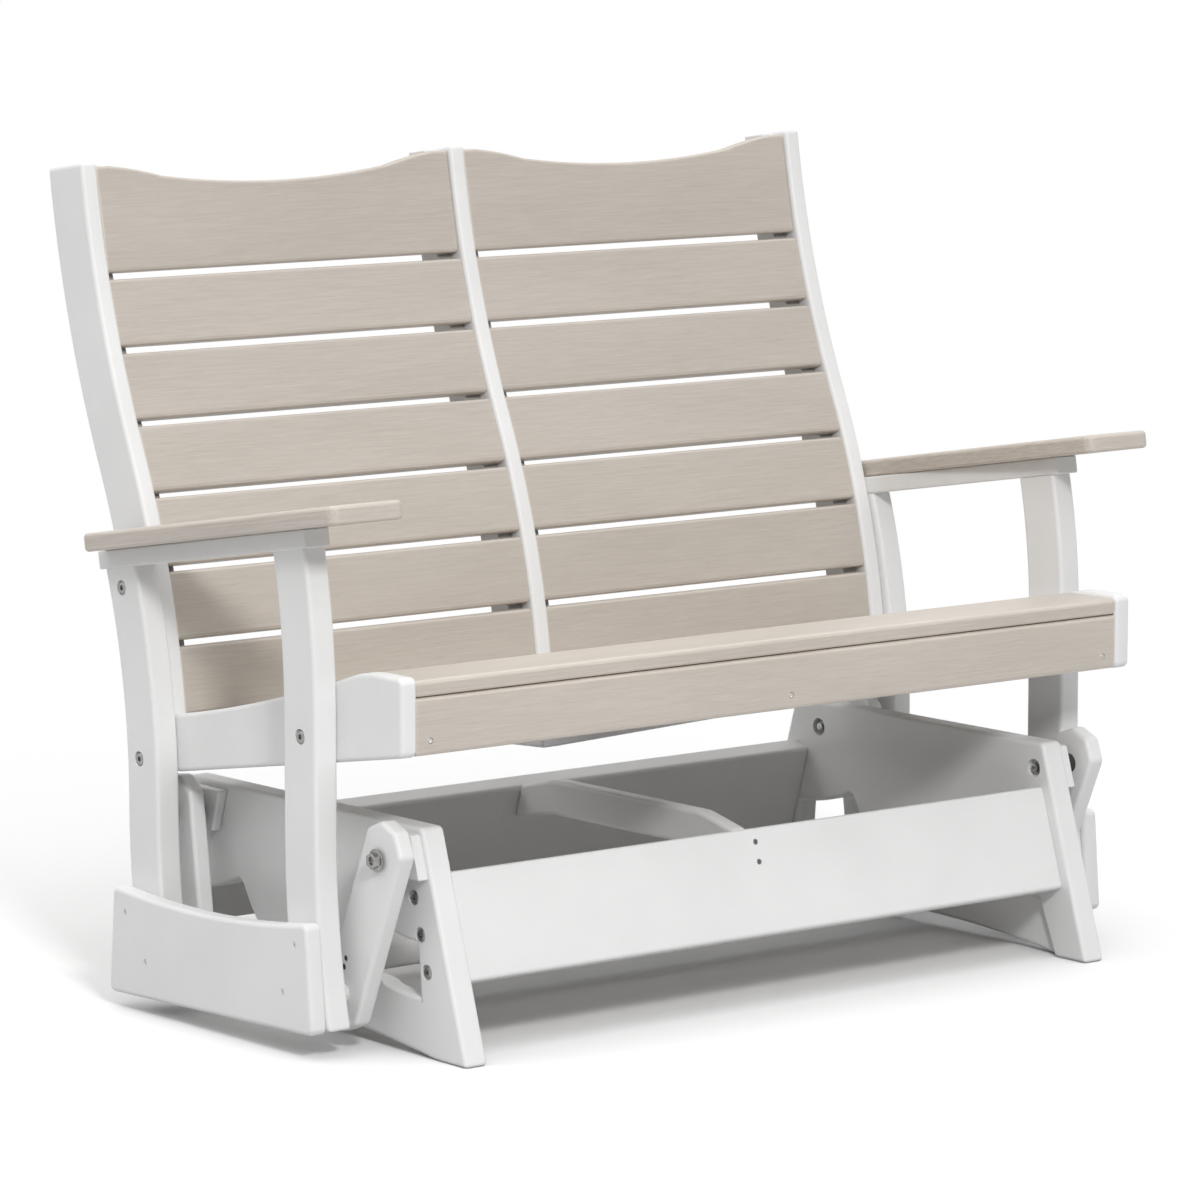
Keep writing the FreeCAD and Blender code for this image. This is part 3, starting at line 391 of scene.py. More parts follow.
# %% Round the edges and finish a board
UPPER_PIVOTS = [(-0.3082, 0.2630), (0.1548, 0.2630)]  # y and z of the axes, front and rear
LOWER_PIVOTS = [(-0.2285, 0.0752), (0.1290, 0.0606)]
PIVOT_KEEP = 0.021  # an edge this near to an axis belongs to a pivot hole
SHARP = math.radians(28)  # an edge that turns more than this gets a round


def no_edge(edge):
    """The test of a board that has no edges to leave sharp."""
    return False


def near_pivot(point):
    """Whether a point is on the wall or rim of a pivot hole."""
    return any(math.hypot(point.y - y, point.z - z) < PIVOT_KEEP for y, z in UPPER_PIVOTS + LOWER_PIVOTS)


def round_edges(board, width, segments, skip):
    """Round the sharp edges of a board, except at the pivot holes and where told to skip."""

    def wanted(edge):
        middle = (edge.verts[0].co + edge.verts[1].co) / 2
        sharp = edge.is_manifold and edge.calc_face_angle() > SHARP
        return sharp and not near_pivot(middle) and not skip(edge)

    low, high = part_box(board.name.removesuffix("_board"))
    if high.x - low.x < UPRIGHT:
        border_sides(board)
    pick_up(board)
    bpy.ops.object.mode_set(mode="EDIT")
    mark(board, "EDGE", wanted)
    bpy.ops.mesh.bevel(offset=width, segments=segments, affect="EDGES", clamp_overlap=False)
    bpy.ops.object.mode_set(mode="OBJECT")


def body_of(node):
    """The body that a CAD piece rides with."""
    return frame["nodes"][node]["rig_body"]


def finish_board(node, finish, slot, width, segments, skip=no_edge, shaping=None):
    """A finished board that stands for a CAD piece and rides with its body."""
    board = board_from_cad(node)
    if shaping:
        shaping(board)
    round_edges(board, width, segments, skip)
    board.data.materials.append(finish)
    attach(board, body_of(node))
    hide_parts(node)
    return board


print("board helpers are ready")

# %% [markdown]
# ## The white boards
# Two kinds of edge are left by the CAD pieces. The shaped boards are cut square, and get the whole
# round straight from the corner. The straight ones carry a flat 3.5 mm bevel already: rounding both
# rims of that bevel by 2.4 mm gives the same 6 mm round. Thin supports and blocks get a smaller one.

# %% White boards that are rounded all over
BEVELLED = (2.4 * MM, 2)  # width and segments of the round
SQUARE = (5.5 * MM, 4)
SMALL_SEGMENTS = 3
BEVELLED_BOARDS = ["base_front_rail", "base_rear_rail", "base_stretcher"]
SQUARE_BOARDS = [
    "base_center_brace",
    "link_front_left", "link_front_right", "link_rear_left", "link_rear_right",
    "back_post_left", "back_post_center", "back_post_right", "seat_side_left", "seat_side_right",
    "lower_board_left", "lower_board_right",
]
SMALL_ROUNDS = {
    "seat_center_support": 2.0 * MM, "arm_support_left": 2.5 * MM, "arm_support_right": 2.5 * MM,
    "pivot_spacers": 3.0 * MM,
}
boards = {}
for node in BEVELLED_BOARDS:
    boards[node] = finish_board(node, white_board, "white_board", *BEVELLED)
for node in SQUARE_BOARDS:
    boards[node] = finish_board(node, white_board, "white_board", *SQUARE)
for node, width in SMALL_ROUNDS.items():
    boards[node] = finish_board(node, white_board, "white_board", width, SMALL_SEGMENTS)
print("white boards rounded all over:", len(boards))

# %% [markdown]
# ## White boards with edges that stay sharp
# Some edges butt on another board and stay as sawn. The arm posts carry the arm support on their tops.
# The arched bottom rails are glued in flush between the legs, with no seam to be seen on the outside,
# so the rails' ends and the legs' outer edges beside them stay sharp. A round that stops has to taper
# off to the next corner of its edge. The legs have no corner at the top of that joint, so a bisect
# gives them two, close together, and the taper stays short.

# %% Tests for edges that stay sharp
BASE_MIDDLE = sum(corner.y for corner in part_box("base_side_left")) / 2
BASE_INNER, BASE_OUTER = (corner.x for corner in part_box("base_side_right"))
RAIL_END = 0.25  # the ends of the bottom rails are further than this from the base's middle
LEG_INSIDE = 0.310  # the inner edges of the legs are nearer than this
RAIL_CUTS = (0.071, 0.075)  # heights of the two cuts at the top of the glued joint
STEEP, ACROSS = 0.5, 0.9  # least rise, or run from side to side, for an edge of length 1
FACING_UP = 0.9


def ends_of(edge):
    """The lower and the upper end of an edge, and whether it is steep."""
    low, high = sorted((vert.co for vert in edge.verts), key=lambda co: co.z)
    return low, high, high.z - low.z > STEEP * (high - low).length


def flush_end(edge):
    """Edges at the slanted ends of a bottom rail."""
    low, high, steep = ends_of(edge)
    across = abs(high.x - low.x) > ACROSS * (high - low).length
    return steep or across and abs(high.y - BASE_MIDDLE) > RAIL_END


def rail_joint(edge):
    """Edges of a leg, on the outside, along which a bottom rail is glued flush."""
    low, high, steep = ends_of(edge)
    outside = all(abs(vert.co.x) > BASE_OUTER - TOUCH for vert in edge.verts)
    return steep and outside and high.z < RAIL_CUTS[1] + TOUCH and abs(low.y - BASE_MIDDLE) < LEG_INSIDE


def top_end(edge):
    """Edges round the sawn top of an arm post."""
    return any(face.normal.z > FACING_UP for face in edge.link_faces)


def cut_legs(board):
    """A shaping step that gives the legs corners at the top of the glued joint."""
    pick_up(board)
    bpy.ops.object.mode_set(mode="EDIT")
    for height in RAIL_CUTS:
        bpy.ops.mesh.select_all(action="SELECT")
        bpy.ops.mesh.bisect(plane_co=(0, 0, height), plane_no=(0, 0, 1))
    bpy.ops.object.mode_set(mode="OBJECT")


print("middle of the base at y =", round(BASE_MIDDLE, 4))

# %% Arm posts, base sides and bottom rails
ARM_POSTS = ["arm_post_front_left", "arm_post_front_right", "arm_post_rear_left", "arm_post_rear_right"]
BOTTOM_RAIL = (5.0 * MM, 3)
for node in ARM_POSTS:
    boards[node] = finish_board(node, white_board, "white_board", *SQUARE, top_end)
for node in ("base_side_left", "base_side_right"):
    boards[node] = finish_board(node, white_board, "white_board", *SQUARE, rail_joint, cut_legs)
for node in ("base_bottom_rail_left", "base_bottom_rail_right"):
    boards[node] = finish_board(node, white_board, "white_board", *BOTTOM_RAIL, flush_end)
print("white boards:", len(boards))

# %% [markdown]
# ## The grey-beige boards and the cleats
# Seat slats, back slats and apron run across and are straight; the scalloped top slats and the
# tapered armrests are shaped. The photograph shows narrower gaps in the back than the CAD pieces have,
# so the long edges of the back slats are pulled a little apart, each in its slat's own plane, and the
# scalloped edges are lowered. The cleats behind them are short sawn blocks with only a slight round.
# They are drawn up until they peep out over the scallops, and a little wider beside the posts.

# %% Pull parts of a board
SLAT_EDGE = 0.02  # corners this near to a long edge of a slat move with it
SCALLOP_FROM = -0.015  # the scalloped edge lies above this height over the slat's middle
UP_THE_BACK = Vector((0, 0.19, 0.98))
SLAT_WIDER, TOP_SLAT_WIDER, SCALLOP_DROP = 2.8 * MM, 3.8 * MM, 0.0045
CLEAT_TOPS, CLEAT_RISE = 1.080, 0.029  # corners above this height rise by this much
CLEAT_SIDE, CLEAT_WIDER = (0.01, 0.06), 0.004  # corners this far beside a post move by this much


def pull(board, wanted, way):
    """Move the corners of a board that pass a test."""
    pick_up(board)
    bpy.ops.object.mode_set(mode="EDIT")
    mark(board, "VERT", lambda vert: wanted(vert.co))
    bpy.ops.transform.translate(value=way)
    bpy.ops.object.mode_set(mode="OBJECT")


def widen(lower, upper):
    """A shaping step that moves the long edges of a slat apart."""

    def shaping(board):
        normal = max(board.data.polygons, key=lambda face: face.area).normal
        up = Vector((0, abs(normal.z), abs(normal.y)))
        heights = [up.dot(vert.co) for vert in board.data.vertices]
        bottom, top = min(heights) + SLAT_EDGE, max(heights) - SLAT_EDGE
        pull(board, lambda co: up.dot(co) < bottom, -lower * up)
        pull(board, lambda co: up.dot(co) > top, upper * up)

    return shaping


def shape_top_slat(board):
    """A shaping step that moves both edges of a scalloped slat down."""
    widen(TOP_SLAT_WIDER, 0)(board)
    heights = [vert.co.z for vert in board.data.vertices]
    scallop = (min(heights) + max(heights)) / 2 + SCALLOP_FROM
    pull(board, lambda co: co.z > scallop, -UP_THE_BACK * SCALLOP_DROP)


def shape_cleats(board):
    """A shaping step that draws the back cleats up along the top slat and widens their free sides."""
    pull(board, lambda co: co.z > CLEAT_TOPS, UP_THE_BACK * CLEAT_RISE)
    for post, sides in (("left", (1,)), ("center", (-1, 1)), ("right", (-1,))):
        low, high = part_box(f"back_post_{post}")
        middle, half = (low.x + high.x) / 2, (high.x - low.x) / 2
        near, far = (half + reach for reach in CLEAT_SIDE)
        for side in sides:
            pull(board, lambda co: near < (co.x - middle) * side < far, Vector((side * CLEAT_WIDER, 0, 0)))


print("shaping steps are ready")

# %% [markdown]
# ## Tones of the grey-beige boards
# A tone of 1 is the finish as it was mixed, and less is darker. The back is set a little darker than
# the seat as painted shade, and neighbours differ by a few percent. The tones are listed here and
# stored on the boards later, when their holes are cut. On the front ends of the armrests the
# lengthwise grain would show as dots, so those faces take the finish of the slats.

# %% Grey-beige boards and cleats
SEAT_TONES = {"seat_apron": 1.0, "seat_slat_front": 0.98}
SEAT_TONES |= {f"seat_slat_{number}": 0.94 + 0.02 * (number % 3) for number in range(2, 7)}
# the back's tones lie below the seat's: painted shade, with a few percent between neighbours
BACK_SHADED_TONES = {f"back_slat_row_{row}": 0.90 + 0.015 * (row % 3) for row in range(2, 8)}
TOP_SHADED_TONES = {"back_top_slat_left": 0.90, "back_top_slat_right": 0.91}
ARM_TONES = {"armrest_left": 0.93, "armrest_right": 0.95}
SHAPING = {node: widen(SLAT_WIDER, SLAT_WIDER) for node in BACK_SHADED_TONES}
SHAPING |= {node: shape_top_slat for node in TOP_SHADED_TONES}
FRONT_END = -0.7  # a face whose normal has less than this along Y looks to the front
CLEAT_ROUND = (2.0 * MM, 2)
tones = SEAT_TONES | BACK_SHADED_TONES | TOP_SHADED_TONES | ARM_TONES
for node in tones:
    rounding = SQUARE if node in TOP_SHADED_TONES | ARM_TONES else BEVELLED
    finish = beige_along if node in ARM_TONES else beige_across
    boards[node] = finish_board(node, finish, "taupe_board", *rounding, shaping=SHAPING.get(node))
for node in ARM_TONES:
    boards[node].data.materials.append(beige_across)
    for face in boards[node].data.polygons:
        face.material_index = int(face.normal.y < FRONT_END)
for node, shaping in (("back_cleats", shape_cleats), ("seat_cleats", None)):
    boards[node] = finish_board(node, cleat_board, "white_board", *CLEAT_ROUND, shaping=shaping)
print("boards in all:", len(boards))

# %% [markdown]
# ## Where bolts and screws sit
# The frame is bolted through: three bolts hold a rail to each leg, and three hold each pair of arm
# posts. Small screws fasten the lower boards to the arm posts, the apron to the seat sides and its
# centre support, and the rails to the centre brace; two more sit low on each link. A seat is written
# as a place on the board's face and the direction in which that face looks.

# %% Seats of the frame bolts
SIDES = {"left": -1, "right": 1}
LEG_BOLTS = [(0.277, 0.113), (0.263, 0.160), (0.249, 0.207)]  # distance from the base's middle, height
ARM_BOLTS = {"front": [(-0.2112, 0.416)], "rear": [(0.1588, 0.339), (0.1968, 0.566)]}  # y and z


def side_seats(face, side, places):
    """Seats on an outer face, at a distance from the middle plane."""
    return [(Vector((side * face, y, z)), Vector((side, 0, 0))) for y, z in places]


bolt_seats = {}
for name, side in SIDES.items():
    leg_places = [(BASE_MIDDLE + end * reach, height) for end in (-1, 1) for reach, height in LEG_BOLTS]
    bolt_seats[f"base_side_{name}"] = side_seats(BASE_OUTER, side, leg_places)
    for end, places in ARM_BOLTS.items():
        post_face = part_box(f"arm_post_{end}_right")[1].x
        bolt_seats[f"arm_post_{end}_{name}"] = side_seats(post_face, side, places)
print("bolts:", sum(len(seats) for seats in bolt_seats.values()))

# %% Seats of the screws
LOWER_BOARD_SCREWS = [(-0.2312, 0.150), (-0.2042, 0.084), (0.1588, 0.134), (0.1118, 0.073)]  # y and z
LINK_SCREWS = {"front": [(-0.2342, 0.123), (-0.2302, 0.111)], "rear": [(0.1235, 0.108), (0.1250, 0.096)]}
APRON_SCREWS = [(-0.587, 0.424), (0.016, 0.424), (0.587, 0.424)]  # x and z
RAIL_SCREWS_X, RAIL_SCREWS_Z = -0.006, (0.221, 0.195)
RAIL_FOOT, RAIL_SLOPE = 0.343, 0.31  # the rails' outer faces: distance at the floor, and inwards per height


def rail_seats(end):
    """Seats on the leaning outer face of a cross rail, at its middle."""
    lean = math.atan(RAIL_SLOPE)
    outward = Vector((0, end * math.cos(lean), math.sin(lean)))
    reaches = {height: BASE_MIDDLE + end * (RAIL_FOOT - RAIL_SLOPE * height) for height in RAIL_SCREWS_Z}
    return [(Vector((RAIL_SCREWS_X, reach, height)), outward) for height, reach in reaches.items()]


apron_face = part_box("seat_apron")[0].y
tie_face, link_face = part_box("lower_board_right")[1].x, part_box("link_front_right")[1].x
screw_seats = {"seat_apron": [(Vector((x, apron_face, z)), Vector((0, -1, 0))) for x, z in APRON_SCREWS]}
screw_seats |= {"base_front_rail": rail_seats(-1), "base_rear_rail": rail_seats(1)}
for name, side in SIDES.items():
    screw_seats[f"lower_board_{name}"] = side_seats(tie_face, side, LOWER_BOARD_SCREWS)
    for end, places in LINK_SCREWS.items():
        screw_seats[f"link_{end}_{name}"] = side_seats(link_face, side, places)
print("screws:", sum(len(seats) for seats in screw_seats.values()))

# %% [markdown]
# ## Sunk holes
# Every head sits at the bottom of a flat round hole. A dark disc could stand for it, but the holes are
# really cut: one cylinder is added for each, the cylinders are joined, and a Boolean modifier takes
# them out of the board.

# %% Cut the holes
ROUND = 40  # sides of a cylinder that has to look round
BOLT_HOLE = (10.5 * MM, 4.5 * MM)  # radius and depth
SCREW_HOLE = (4.2 * MM, 1.6 * MM)


def join_or_cut(piece, other, operation):
    """Join another object onto a piece, or cut it out, and throw the other one away."""
    change = piece.modifiers.new("change", "BOOLEAN")
    change.operation = operation
    change.solver = "EXACT"
    change.object = other
    apply_modifier(piece, change)
    bpy.data.objects.remove(other)


def cut_holes(board, seats, radius, depth):
    """Flat-bottomed round holes in a board, one at each seat."""
    cutters = []
    for place, outward in seats:
        turn = Vector((0, 0, 1)).rotation_difference(outward).to_euler()
        bpy.ops.mesh.primitive_cylinder_add(
            vertices=ROUND, radius=radius, depth=2 * depth, location=place, rotation=turn
        )
        cutters.append(bpy.context.active_object)
    pick_up(*cutters)
    bpy.ops.object.join()
    join_or_cut(board, bpy.context.active_object, "DIFFERENCE")


for node, seats in bolt_seats.items():
    cut_holes(boards[node], seats, *BOLT_HOLE)
for node, seats in screw_seats.items():
    cut_holes(boards[node], seats, *SCREW_HOLE)
print("holes cut in", len(bolt_seats) + len(screw_seats), "boards")

# %% [markdown]
# ## Tones, painted highlights and shading
# The tones are stored now, since the faces of a new hole would have none. The rounds of the grey-beige
# boards get a painted highlight: a face that leans between the front and an edge gets a lighter tone,
# as if light caught the round. Then every board is shaded: smooth over the rounds, flat on the faces,
# which a Weighted Normal modifier does by letting the big faces decide.

# %% Store the tones and painted highlights and shade the boards
# the rounds' tone is raised by this factor: a painted highlight
ROUND_HIGHLIGHT = 1.12
ROUND_LEAN = (0.15, 0.97)  # how much of a round's normal looks the way of the board's front
SMOOTH_ANGLE = math.radians(35)


def set_tone_and_highlight(board, tone):
    """Store the tone of a board on its faces, and a paler one on its rounds as a painted highlight."""
    front = max(board.data.polygons, key=lambda face: face.area).normal
    leaning = [abs(front.dot(face.normal)) for face in board.data.polygons]
    least, most = ROUND_LEAN
    layer = board.data.attributes.new("board_tone", "FLOAT", "FACE")
    layer.data.foreach_set("value", [tone * ROUND_HIGHLIGHT if least < lean < most else tone for lean in leaning])


def even_shading(board):
    """Smooth the rounds and keep the big faces flat."""
    pick_up(board)
    bpy.ops.object.shade_smooth_by_angle(angle=SMOOTH_ANGLE)
    weighted = board.modifiers.new("flat_faces", "WEIGHTED_NORMAL")
    weighted.keep_sharp = True
    apply_modifier(board, weighted)


for node, tone in tones.items():
    set_tone_and_highlight(boards[node], tone)
for board in boards.values():
    even_shading(board)
print("boards with a tone:", len(tones), "and shaded:", len(boards))

# %% [markdown]
# ## Heads
# A button head is a short cylinder with its top edge rounded and a hexagon sunk into it; a screw head
# is the same thing smaller, with a square. Each kind is modelled once, facing +X, and copied: every
# copy is turned to its face and gets its own mesh, and the copies in one board are joined into a piece.

# %% Model a head
SQUARE_HOLE, HEXAGON = 4, 6  # sides
AT_TOP = 0.99


def rod(sides, radius, start, end):
    """A straight rod or prism along X, between two distances."""
    let_go()
    bpy.ops.mesh.primitive_cylinder_add(
        vertices=sides, radius=radius, depth=end - start, location=((start + end) / 2, 0, 0),
        rotation=(0, math.radians(90), 0),
    )
    bpy.ops.object.transform_apply(location=True, rotation=True, scale=True)
    return bpy.context.active_object


def soften(piece, width, segments, wanted):
    """Round the edges of a piece that pass a test."""
    pick_up(piece)
    bpy.ops.object.mode_set(mode="EDIT")
    mark(piece, "EDGE", wanted)
    bpy.ops.mesh.bevel(offset=width, segments=segments, affect="EDGES")
    bpy.ops.object.mode_set(mode="OBJECT")


def top_rim(height):
    """A test for the edges at the end of a rod."""
    return lambda edge: all(vert.co.x > AT_TOP * height for vert in edge.verts)


def model_head(radius, height, rim, socket_sides, socket_radius, socket_depth):
    """A fastener head with its base in the YZ plane and its top towards +X."""
    head = rod(ROUND, radius, 0, height)
    soften(head, rim, 3, top_rim(height))
    socket = rod(socket_sides, socket_radius, height - socket_depth, height + socket_depth)
    join_or_cut(head, socket, "DIFFERENCE")
    return head


bolt_head = model_head(
    radius=8.5 * MM, height=4.0 * MM, rim=2.0 * MM,
    socket_sides=HEXAGON, socket_radius=3.8 * MM, socket_depth=3.0 * MM,
)
screw_head = model_head(
    radius=3.6 * MM, height=1.3 * MM, rim=0.6 * MM,
    socket_sides=SQUARE_HOLE, socket_radius=2.0 * MM, socket_depth=1.1 * MM,
)
print("heads:", len(bolt_head.data.polygons), "and", len(screw_head.data.polygons), "faces")


# %% Set copies of a head
def set_copies(name, model, seats, body, finish):
    """One piece of all copies of a model, each turned from +X to its seat's direction."""
    copies = []
    for place, outward in seats:
        copy = model.copy()
        copy.data = model.data.copy()
        bpy.context.scene.collection.objects.link(copy)
        copy.rotation_mode = "QUATERNION"
        copy.rotation_quaternion = Vector((1, 0, 0)).rotation_difference(outward)
        copy.location = place
        copies.append(copy)
    pick_up(*copies)
    bpy.ops.object.transform_apply(location=True, rotation=True, scale=True)
    bpy.ops.object.join()
    piece = bpy.context.active_object
    piece.name = name
    bpy.ops.object.shade_smooth_by_angle(angle=SMOOTH_ANGLE)
    piece.data.materials.clear()
    piece.data.materials.append(finish)
    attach(piece, body)
    return piece


def sunk(seats, depth):
    """The same seats at the bottom of their holes."""
    return [(place - depth * outward, outward) for place, outward in seats]


for node, seats in bolt_seats.items():
    set_copies(node + "_bolts", bolt_head, sunk(seats, BOLT_HOLE[1]), body_of(node), steel)
for node, seats in screw_seats.items():
    finish = bright_steel if node.startswith(("lower_board", "seat_apron")) else coated_steel
    set_copies(node + "_screws", screw_head, sunk(seats, SCREW_HOLE[1]), body_of(node), finish)
for head in (bolt_head, screw_head):
    bpy.data.objects.remove(head)
print("pieces with heads:", len(bolt_seats) + len(screw_seats))

# %% [markdown]
# ## Pivot bolts
# Each link turns on a stainless bolt in plastic bushes. The heads of the upper bolts are plainly seen,
# so a copy of them gets smaller washers, softened corners and a sunk socket: the outer face of each
# hexagon is inset and pushed in. The lower bolts, nuts and the bushes keep their CAD shape.

# %% Upper pivot bolts
WASHER_RADIUS = 15 * MM
AT_TIP = 0.01 * MM
SOCKET_WALL, SOCKET_TAPER, SOCKET_DEPTH = 4.2 * MM, 0.4 * MM, 4.5 * MM
pivot_bolts = board_from_cad("upper_pivot_bolts")
pivot_bolts.name = "upper_pivot_bolt_heads"
for vert in pivot_bolts.data.vertices:
    axis = Vector(min(UPPER_PIVOTS, key=lambda yz: abs(vert.co.y - yz[0])))
    arm = vert.co.yz - axis
    if arm.length > WASHER_RADIUS:
        vert.co.yz = axis + arm.normalized() * WASHER_RADIUS
tip = max(abs(vert.co.x) for vert in pivot_bolts.data.vertices)
pick_up(pivot_bolts)
bpy.ops.object.mode_set(mode="EDIT")
mark(pivot_bolts, "FACE", lambda face: all(abs(vert.co.x) > tip - AT_TIP for vert in face.verts))
bpy.ops.mesh.inset(thickness=SOCKET_WALL, use_individual=True)
bpy.ops.mesh.inset(thickness=SOCKET_TAPER, depth=-SOCKET_DEPTH, use_individual=True)
bpy.ops.object.mode_set(mode="OBJECT")
soft = pivot_bolts.modifiers.new("soft_corners", "BEVEL")
soft.width = 0.7 * MM
soft.segments = 2
soft.limit_method = "ANGLE"
soft.angle_limit = math.radians(40)
apply_modifier(pivot_bolts, soft)
bpy.ops.object.shade_smooth_by_angle(angle=SMOOTH_ANGLE)
pivot_bolts.data.materials.append(steel)
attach(pivot_bolts, "base")
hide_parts("upper_pivot_bolts")
print("pivot bolt faces:", len(pivot_bolts.data.polygons))

# %% [markdown]
# ## Lock nuts
# The nuts of the upper pivots lie sunk in the holes on the inside of the base. A lock nut is a hexagon
# with a round collar: two rods, each with softened edges, joined by a Boolean and then bored.

# %% Lock nuts of the upper pivots
NUT_DEPTH = 11 * MM
NUT_RADIUS, NUT_HEIGHT, NUT_SOFT = 10 * MM, 4.5 * MM, 0.9 * MM
COLLAR_RADIUS, COLLAR_FROM, COLLAR_TO, COLLAR_SOFT = 8.0 * MM, 4.0 * MM, 6.5 * MM, 1.2 * MM
BORE_RADIUS, BORE_FROM, BORE_TO = 6.3 * MM, -1 * MM, 12 * MM
NUT_CORNER = math.radians(50)  # all edges of a hexagon turn more than this
nut = rod(HEXAGON, NUT_RADIUS, 0, NUT_HEIGHT)
soften(nut, NUT_SOFT, 2, lambda edge: edge.calc_face_angle() > NUT_CORNER)
collar = rod(ROUND, COLLAR_RADIUS, COLLAR_FROM, COLLAR_TO)
soften(collar, COLLAR_SOFT, 3, top_rim(COLLAR_TO))
join_or_cut(nut, collar, "UNION")
join_or_cut(nut, rod(ROUND, BORE_RADIUS, BORE_FROM, BORE_TO), "DIFFERENCE")
nut_seats = [
    (Vector((side * (BASE_INNER + NUT_DEPTH), y, z)), Vector((-side, 0, 0)))
    for side in SIDES.values() for y, z in UPPER_PIVOTS
]
lock_nuts = set_copies("upper_pivot_lock_nuts", nut, nut_seats, "base", steel)
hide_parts("upper_pivot_nuts")
bpy.data.objects.remove(nut)
print("lock nut faces:", len(lock_nuts.data.polygons))

# %% Finishes of the CAD pieces that stay
for node in ("lower_pivot_nuts", "lower_pivot_bolts"):
    frame["nodes"][node].material_slots[0].material = steel
for end in ("front", "rear"):
    for name in SIDES:
        frame["nodes"][f"link_bushes_{end}_{name}"].material_slots[0].material = bearing_plastic
print("CAD pieces still shown:", sum(not node.hide_render for node in frame["nodes"].values()))

# %% [markdown]
# ## Floor
# The floor keeps the shadow, and away from the glider it fades into pure white, so that no horizon
# shows. A floor as white as that would light the boards from below, which the photograph doesn't show:
# so only the camera and mirrors see the pale floor, and the light that bounces off it is that of a
# mid-grey one. A Light Path node tells the two apart.

# %% Floor
FLOOR_BOUNCE, FLOOR_SEEN = (0.50, 0.50, 0.50, 1), (0.93, 0.93, 0.93, 1)
FLOOR_SIZE, FLOOR_HEIGHT, FLOOR_FADE = 40, -0.0005, (0.9, 2.2)


def shows_background(tree):
    """1 for rays from the camera, from mirrors and through glass; 0 for light that falls on things."""
    path = tree.nodes.new("ShaderNodeLightPath")
    seen = calculate(tree, path.outputs["Is Camera Ray"], path.outputs["Is Glossy Ray"], "MAXIMUM")
    return calculate(tree, seen, path.outputs["Is Transmission Ray"], "MAXIMUM")


let_go()
bpy.ops.mesh.primitive_plane_add(size=FLOOR_SIZE, location=(0, 0, FLOOR_HEIGHT))
floor = bpy.context.active_object
floor.name = "studio_floor"
floor_finish = bpy.data.materials.new("pale_floor")
floor_finish.use_nodes = True
tree = floor_finish.node_tree
tree.nodes.clear()
seen = shows_background(tree)
matt = tree.nodes.new("ShaderNodeBsdfDiffuse")
tree.links.new(blend_colors(tree, seen, FLOOR_BOUNCE, FLOOR_SEEN), matt.inputs["Color"])
white = tree.nodes.new("ShaderNodeEmission")
place = tree.nodes.new("ShaderNodeTexCoord")
distance = tree.nodes.new("ShaderNodeVectorMath")
distance.operation = "LENGTH"
tree.links.new(place.outputs["Object"], distance.inputs[0])
fade = spread(tree, distance.outputs["Value"], (0, 1), FLOOR_FADE)
mixed = tree.nodes.new("ShaderNodeMixShader")
tree.links.new(calculate(tree, fade, seen, "MULTIPLY"), mixed.inputs["Fac"])
tree.links.new(matt.outputs["BSDF"], mixed.inputs[1])
tree.links.new(white.outputs["Emission"], mixed.inputs[2])
surface = tree.nodes.new("ShaderNodeOutputMaterial")
tree.links.new(mixed.outputs["Shader"], surface.inputs["Surface"])
floor.data.materials.append(floor_finish)
print("made", floor.name)

# %% [markdown]
# ## Sky
# The sky stands for a white studio: it lights the glider most from straight above and hardly from the
# sides, where the lamps are. What the camera and mirrors see of it is plain white.

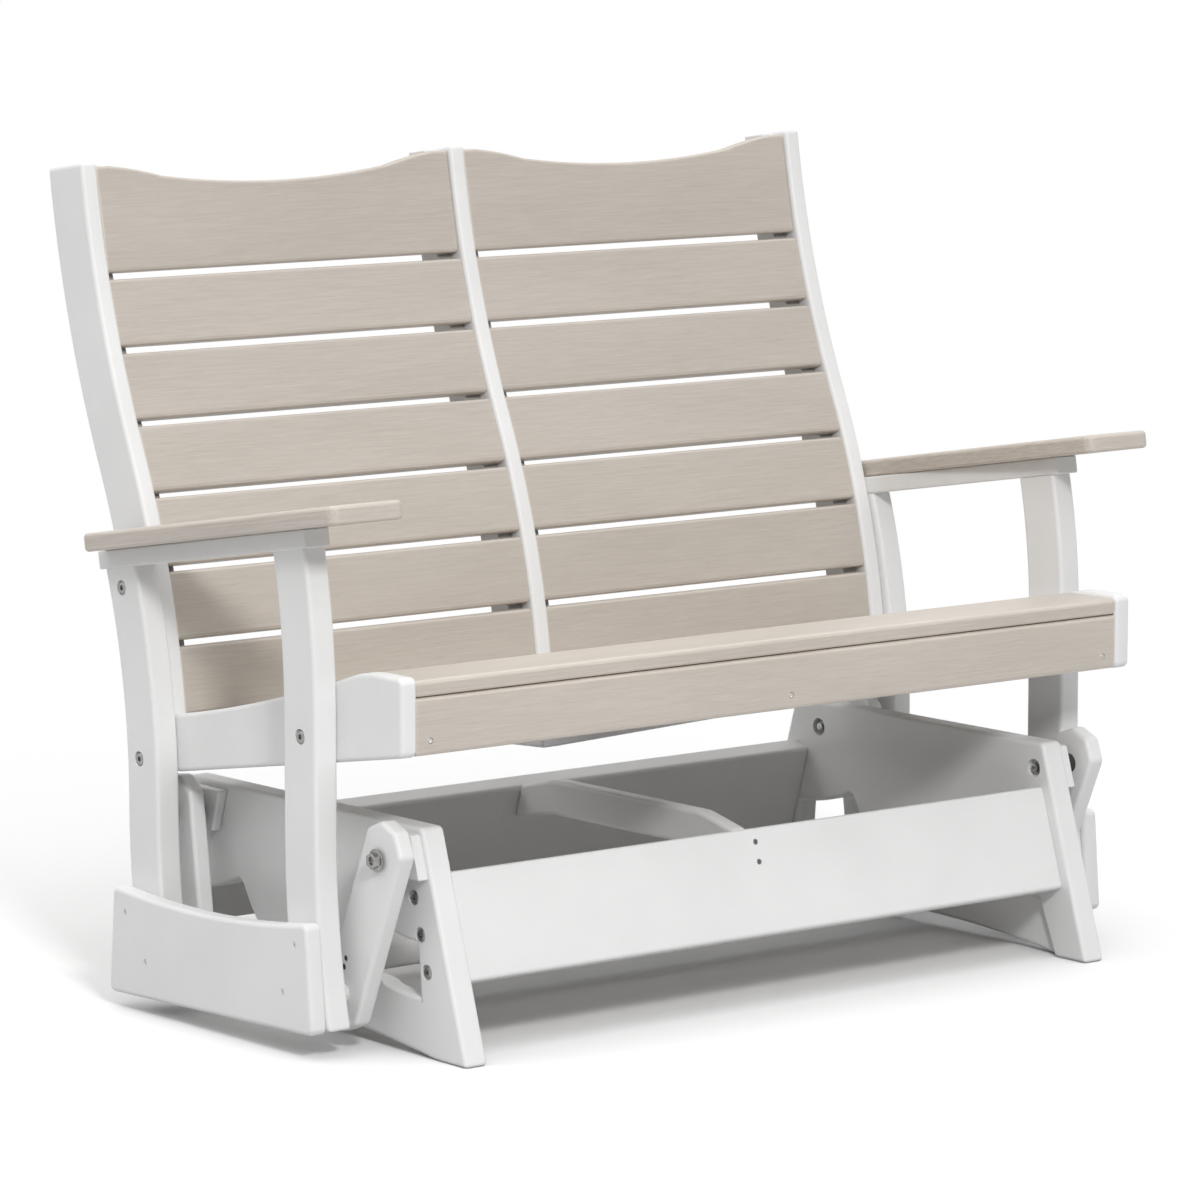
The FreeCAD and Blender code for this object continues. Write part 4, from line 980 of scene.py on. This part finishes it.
# %% Sky
SKY_RIM, SKY_TOP, SKY_POWER = 0.05, 1.95, 2.0
sky = bpy.data.worlds.new("studio_sky")
bpy.context.scene.world = sky
sky.use_nodes = True
tree = sky.node_tree
background = tree.nodes["Background"]
background.inputs["Color"].default_value = (1, 1, 1, 1)
direction = tree.nodes.new("ShaderNodeTexCoord")
parts = tree.nodes.new("ShaderNodeSeparateXYZ")
tree.links.new(direction.outputs["Generated"], parts.inputs["Vector"])
steepness = calculate(tree, parts.outputs["Z"], SKY_POWER, "POWER")
glow = spread(tree, steepness, (SKY_RIM, SKY_TOP), (0, 1))
strength = calculate(tree, glow, shows_background(tree), "MAXIMUM")
tree.links.new(strength, background.inputs["Strength"])
print("made", sky.name)

# %% [markdown]
# ## Lamps
# The key softbox stands to the right of the camera and higher. In the photograph the left armrest
# throws a slanting soft shadow on the back slats: that shadow gave the direction, and the width of its
# blurred edge gave the size of the lamp. A wide weak one at the left and behind lifts the outer side
# faces, and the back keeps it off the inner ones.

# %% Softboxes
LIT_POINT = Vector((0, 0, 0.6))


def softbox(name, towards, reach, size, power):
    """A square lamp at a distance from the seat, in a direction."""
    lamp = bpy.data.lights.new(name, "AREA")
    lamp.shape = "SQUARE"
    lamp.size = size
    lamp.energy = power
    box = bpy.data.objects.new(name, lamp)
    bpy.context.scene.collection.objects.link(box)
    towards = Vector(towards).normalized()
    box.location = LIT_POINT + reach * towards
    box.rotation_euler = (-towards).to_track_quat("-Z", "Y").to_euler()


softbox("key_softbox", towards=(-0.80, -1.60, 1.0), reach=6.0, size=0.8, power=155)
softbox("left_softbox", towards=(-0.85, 0.45, 0.35), reach=5.5, size=2.5, power=27)

# %% [markdown]
# ## Camera
# The photograph looks at the left front corner from somewhat higher than the back, through a long
# lens. The place, the angles and the lens were found by fitting the edges of the boards to it.

# %% Camera
lens = bpy.data.cameras.new("photo_camera")
lens.sensor_width = 36
lens.lens = 172.9
camera = bpy.data.objects.new("photo_camera", lens)
bpy.context.scene.collection.objects.link(camera)
camera.location = (-4.9300, -6.1775, 1.6097)
camera.rotation_euler = (math.radians(82.1), 0, math.radians(-38.542))
bpy.context.scene.camera = camera
bpy.context.scene.view_settings.view_transform = "Standard"
print("camera distance:", round(camera.location.length, 2))

# %% [markdown]
# ## Sizes
# The boards are rounded inside their CAD pieces, the cleats that were drawn up end below the tops of
# the posts, and the heads are sunk, so the visible model lies within the CAD box.

# %% Let go of everything
let_go()
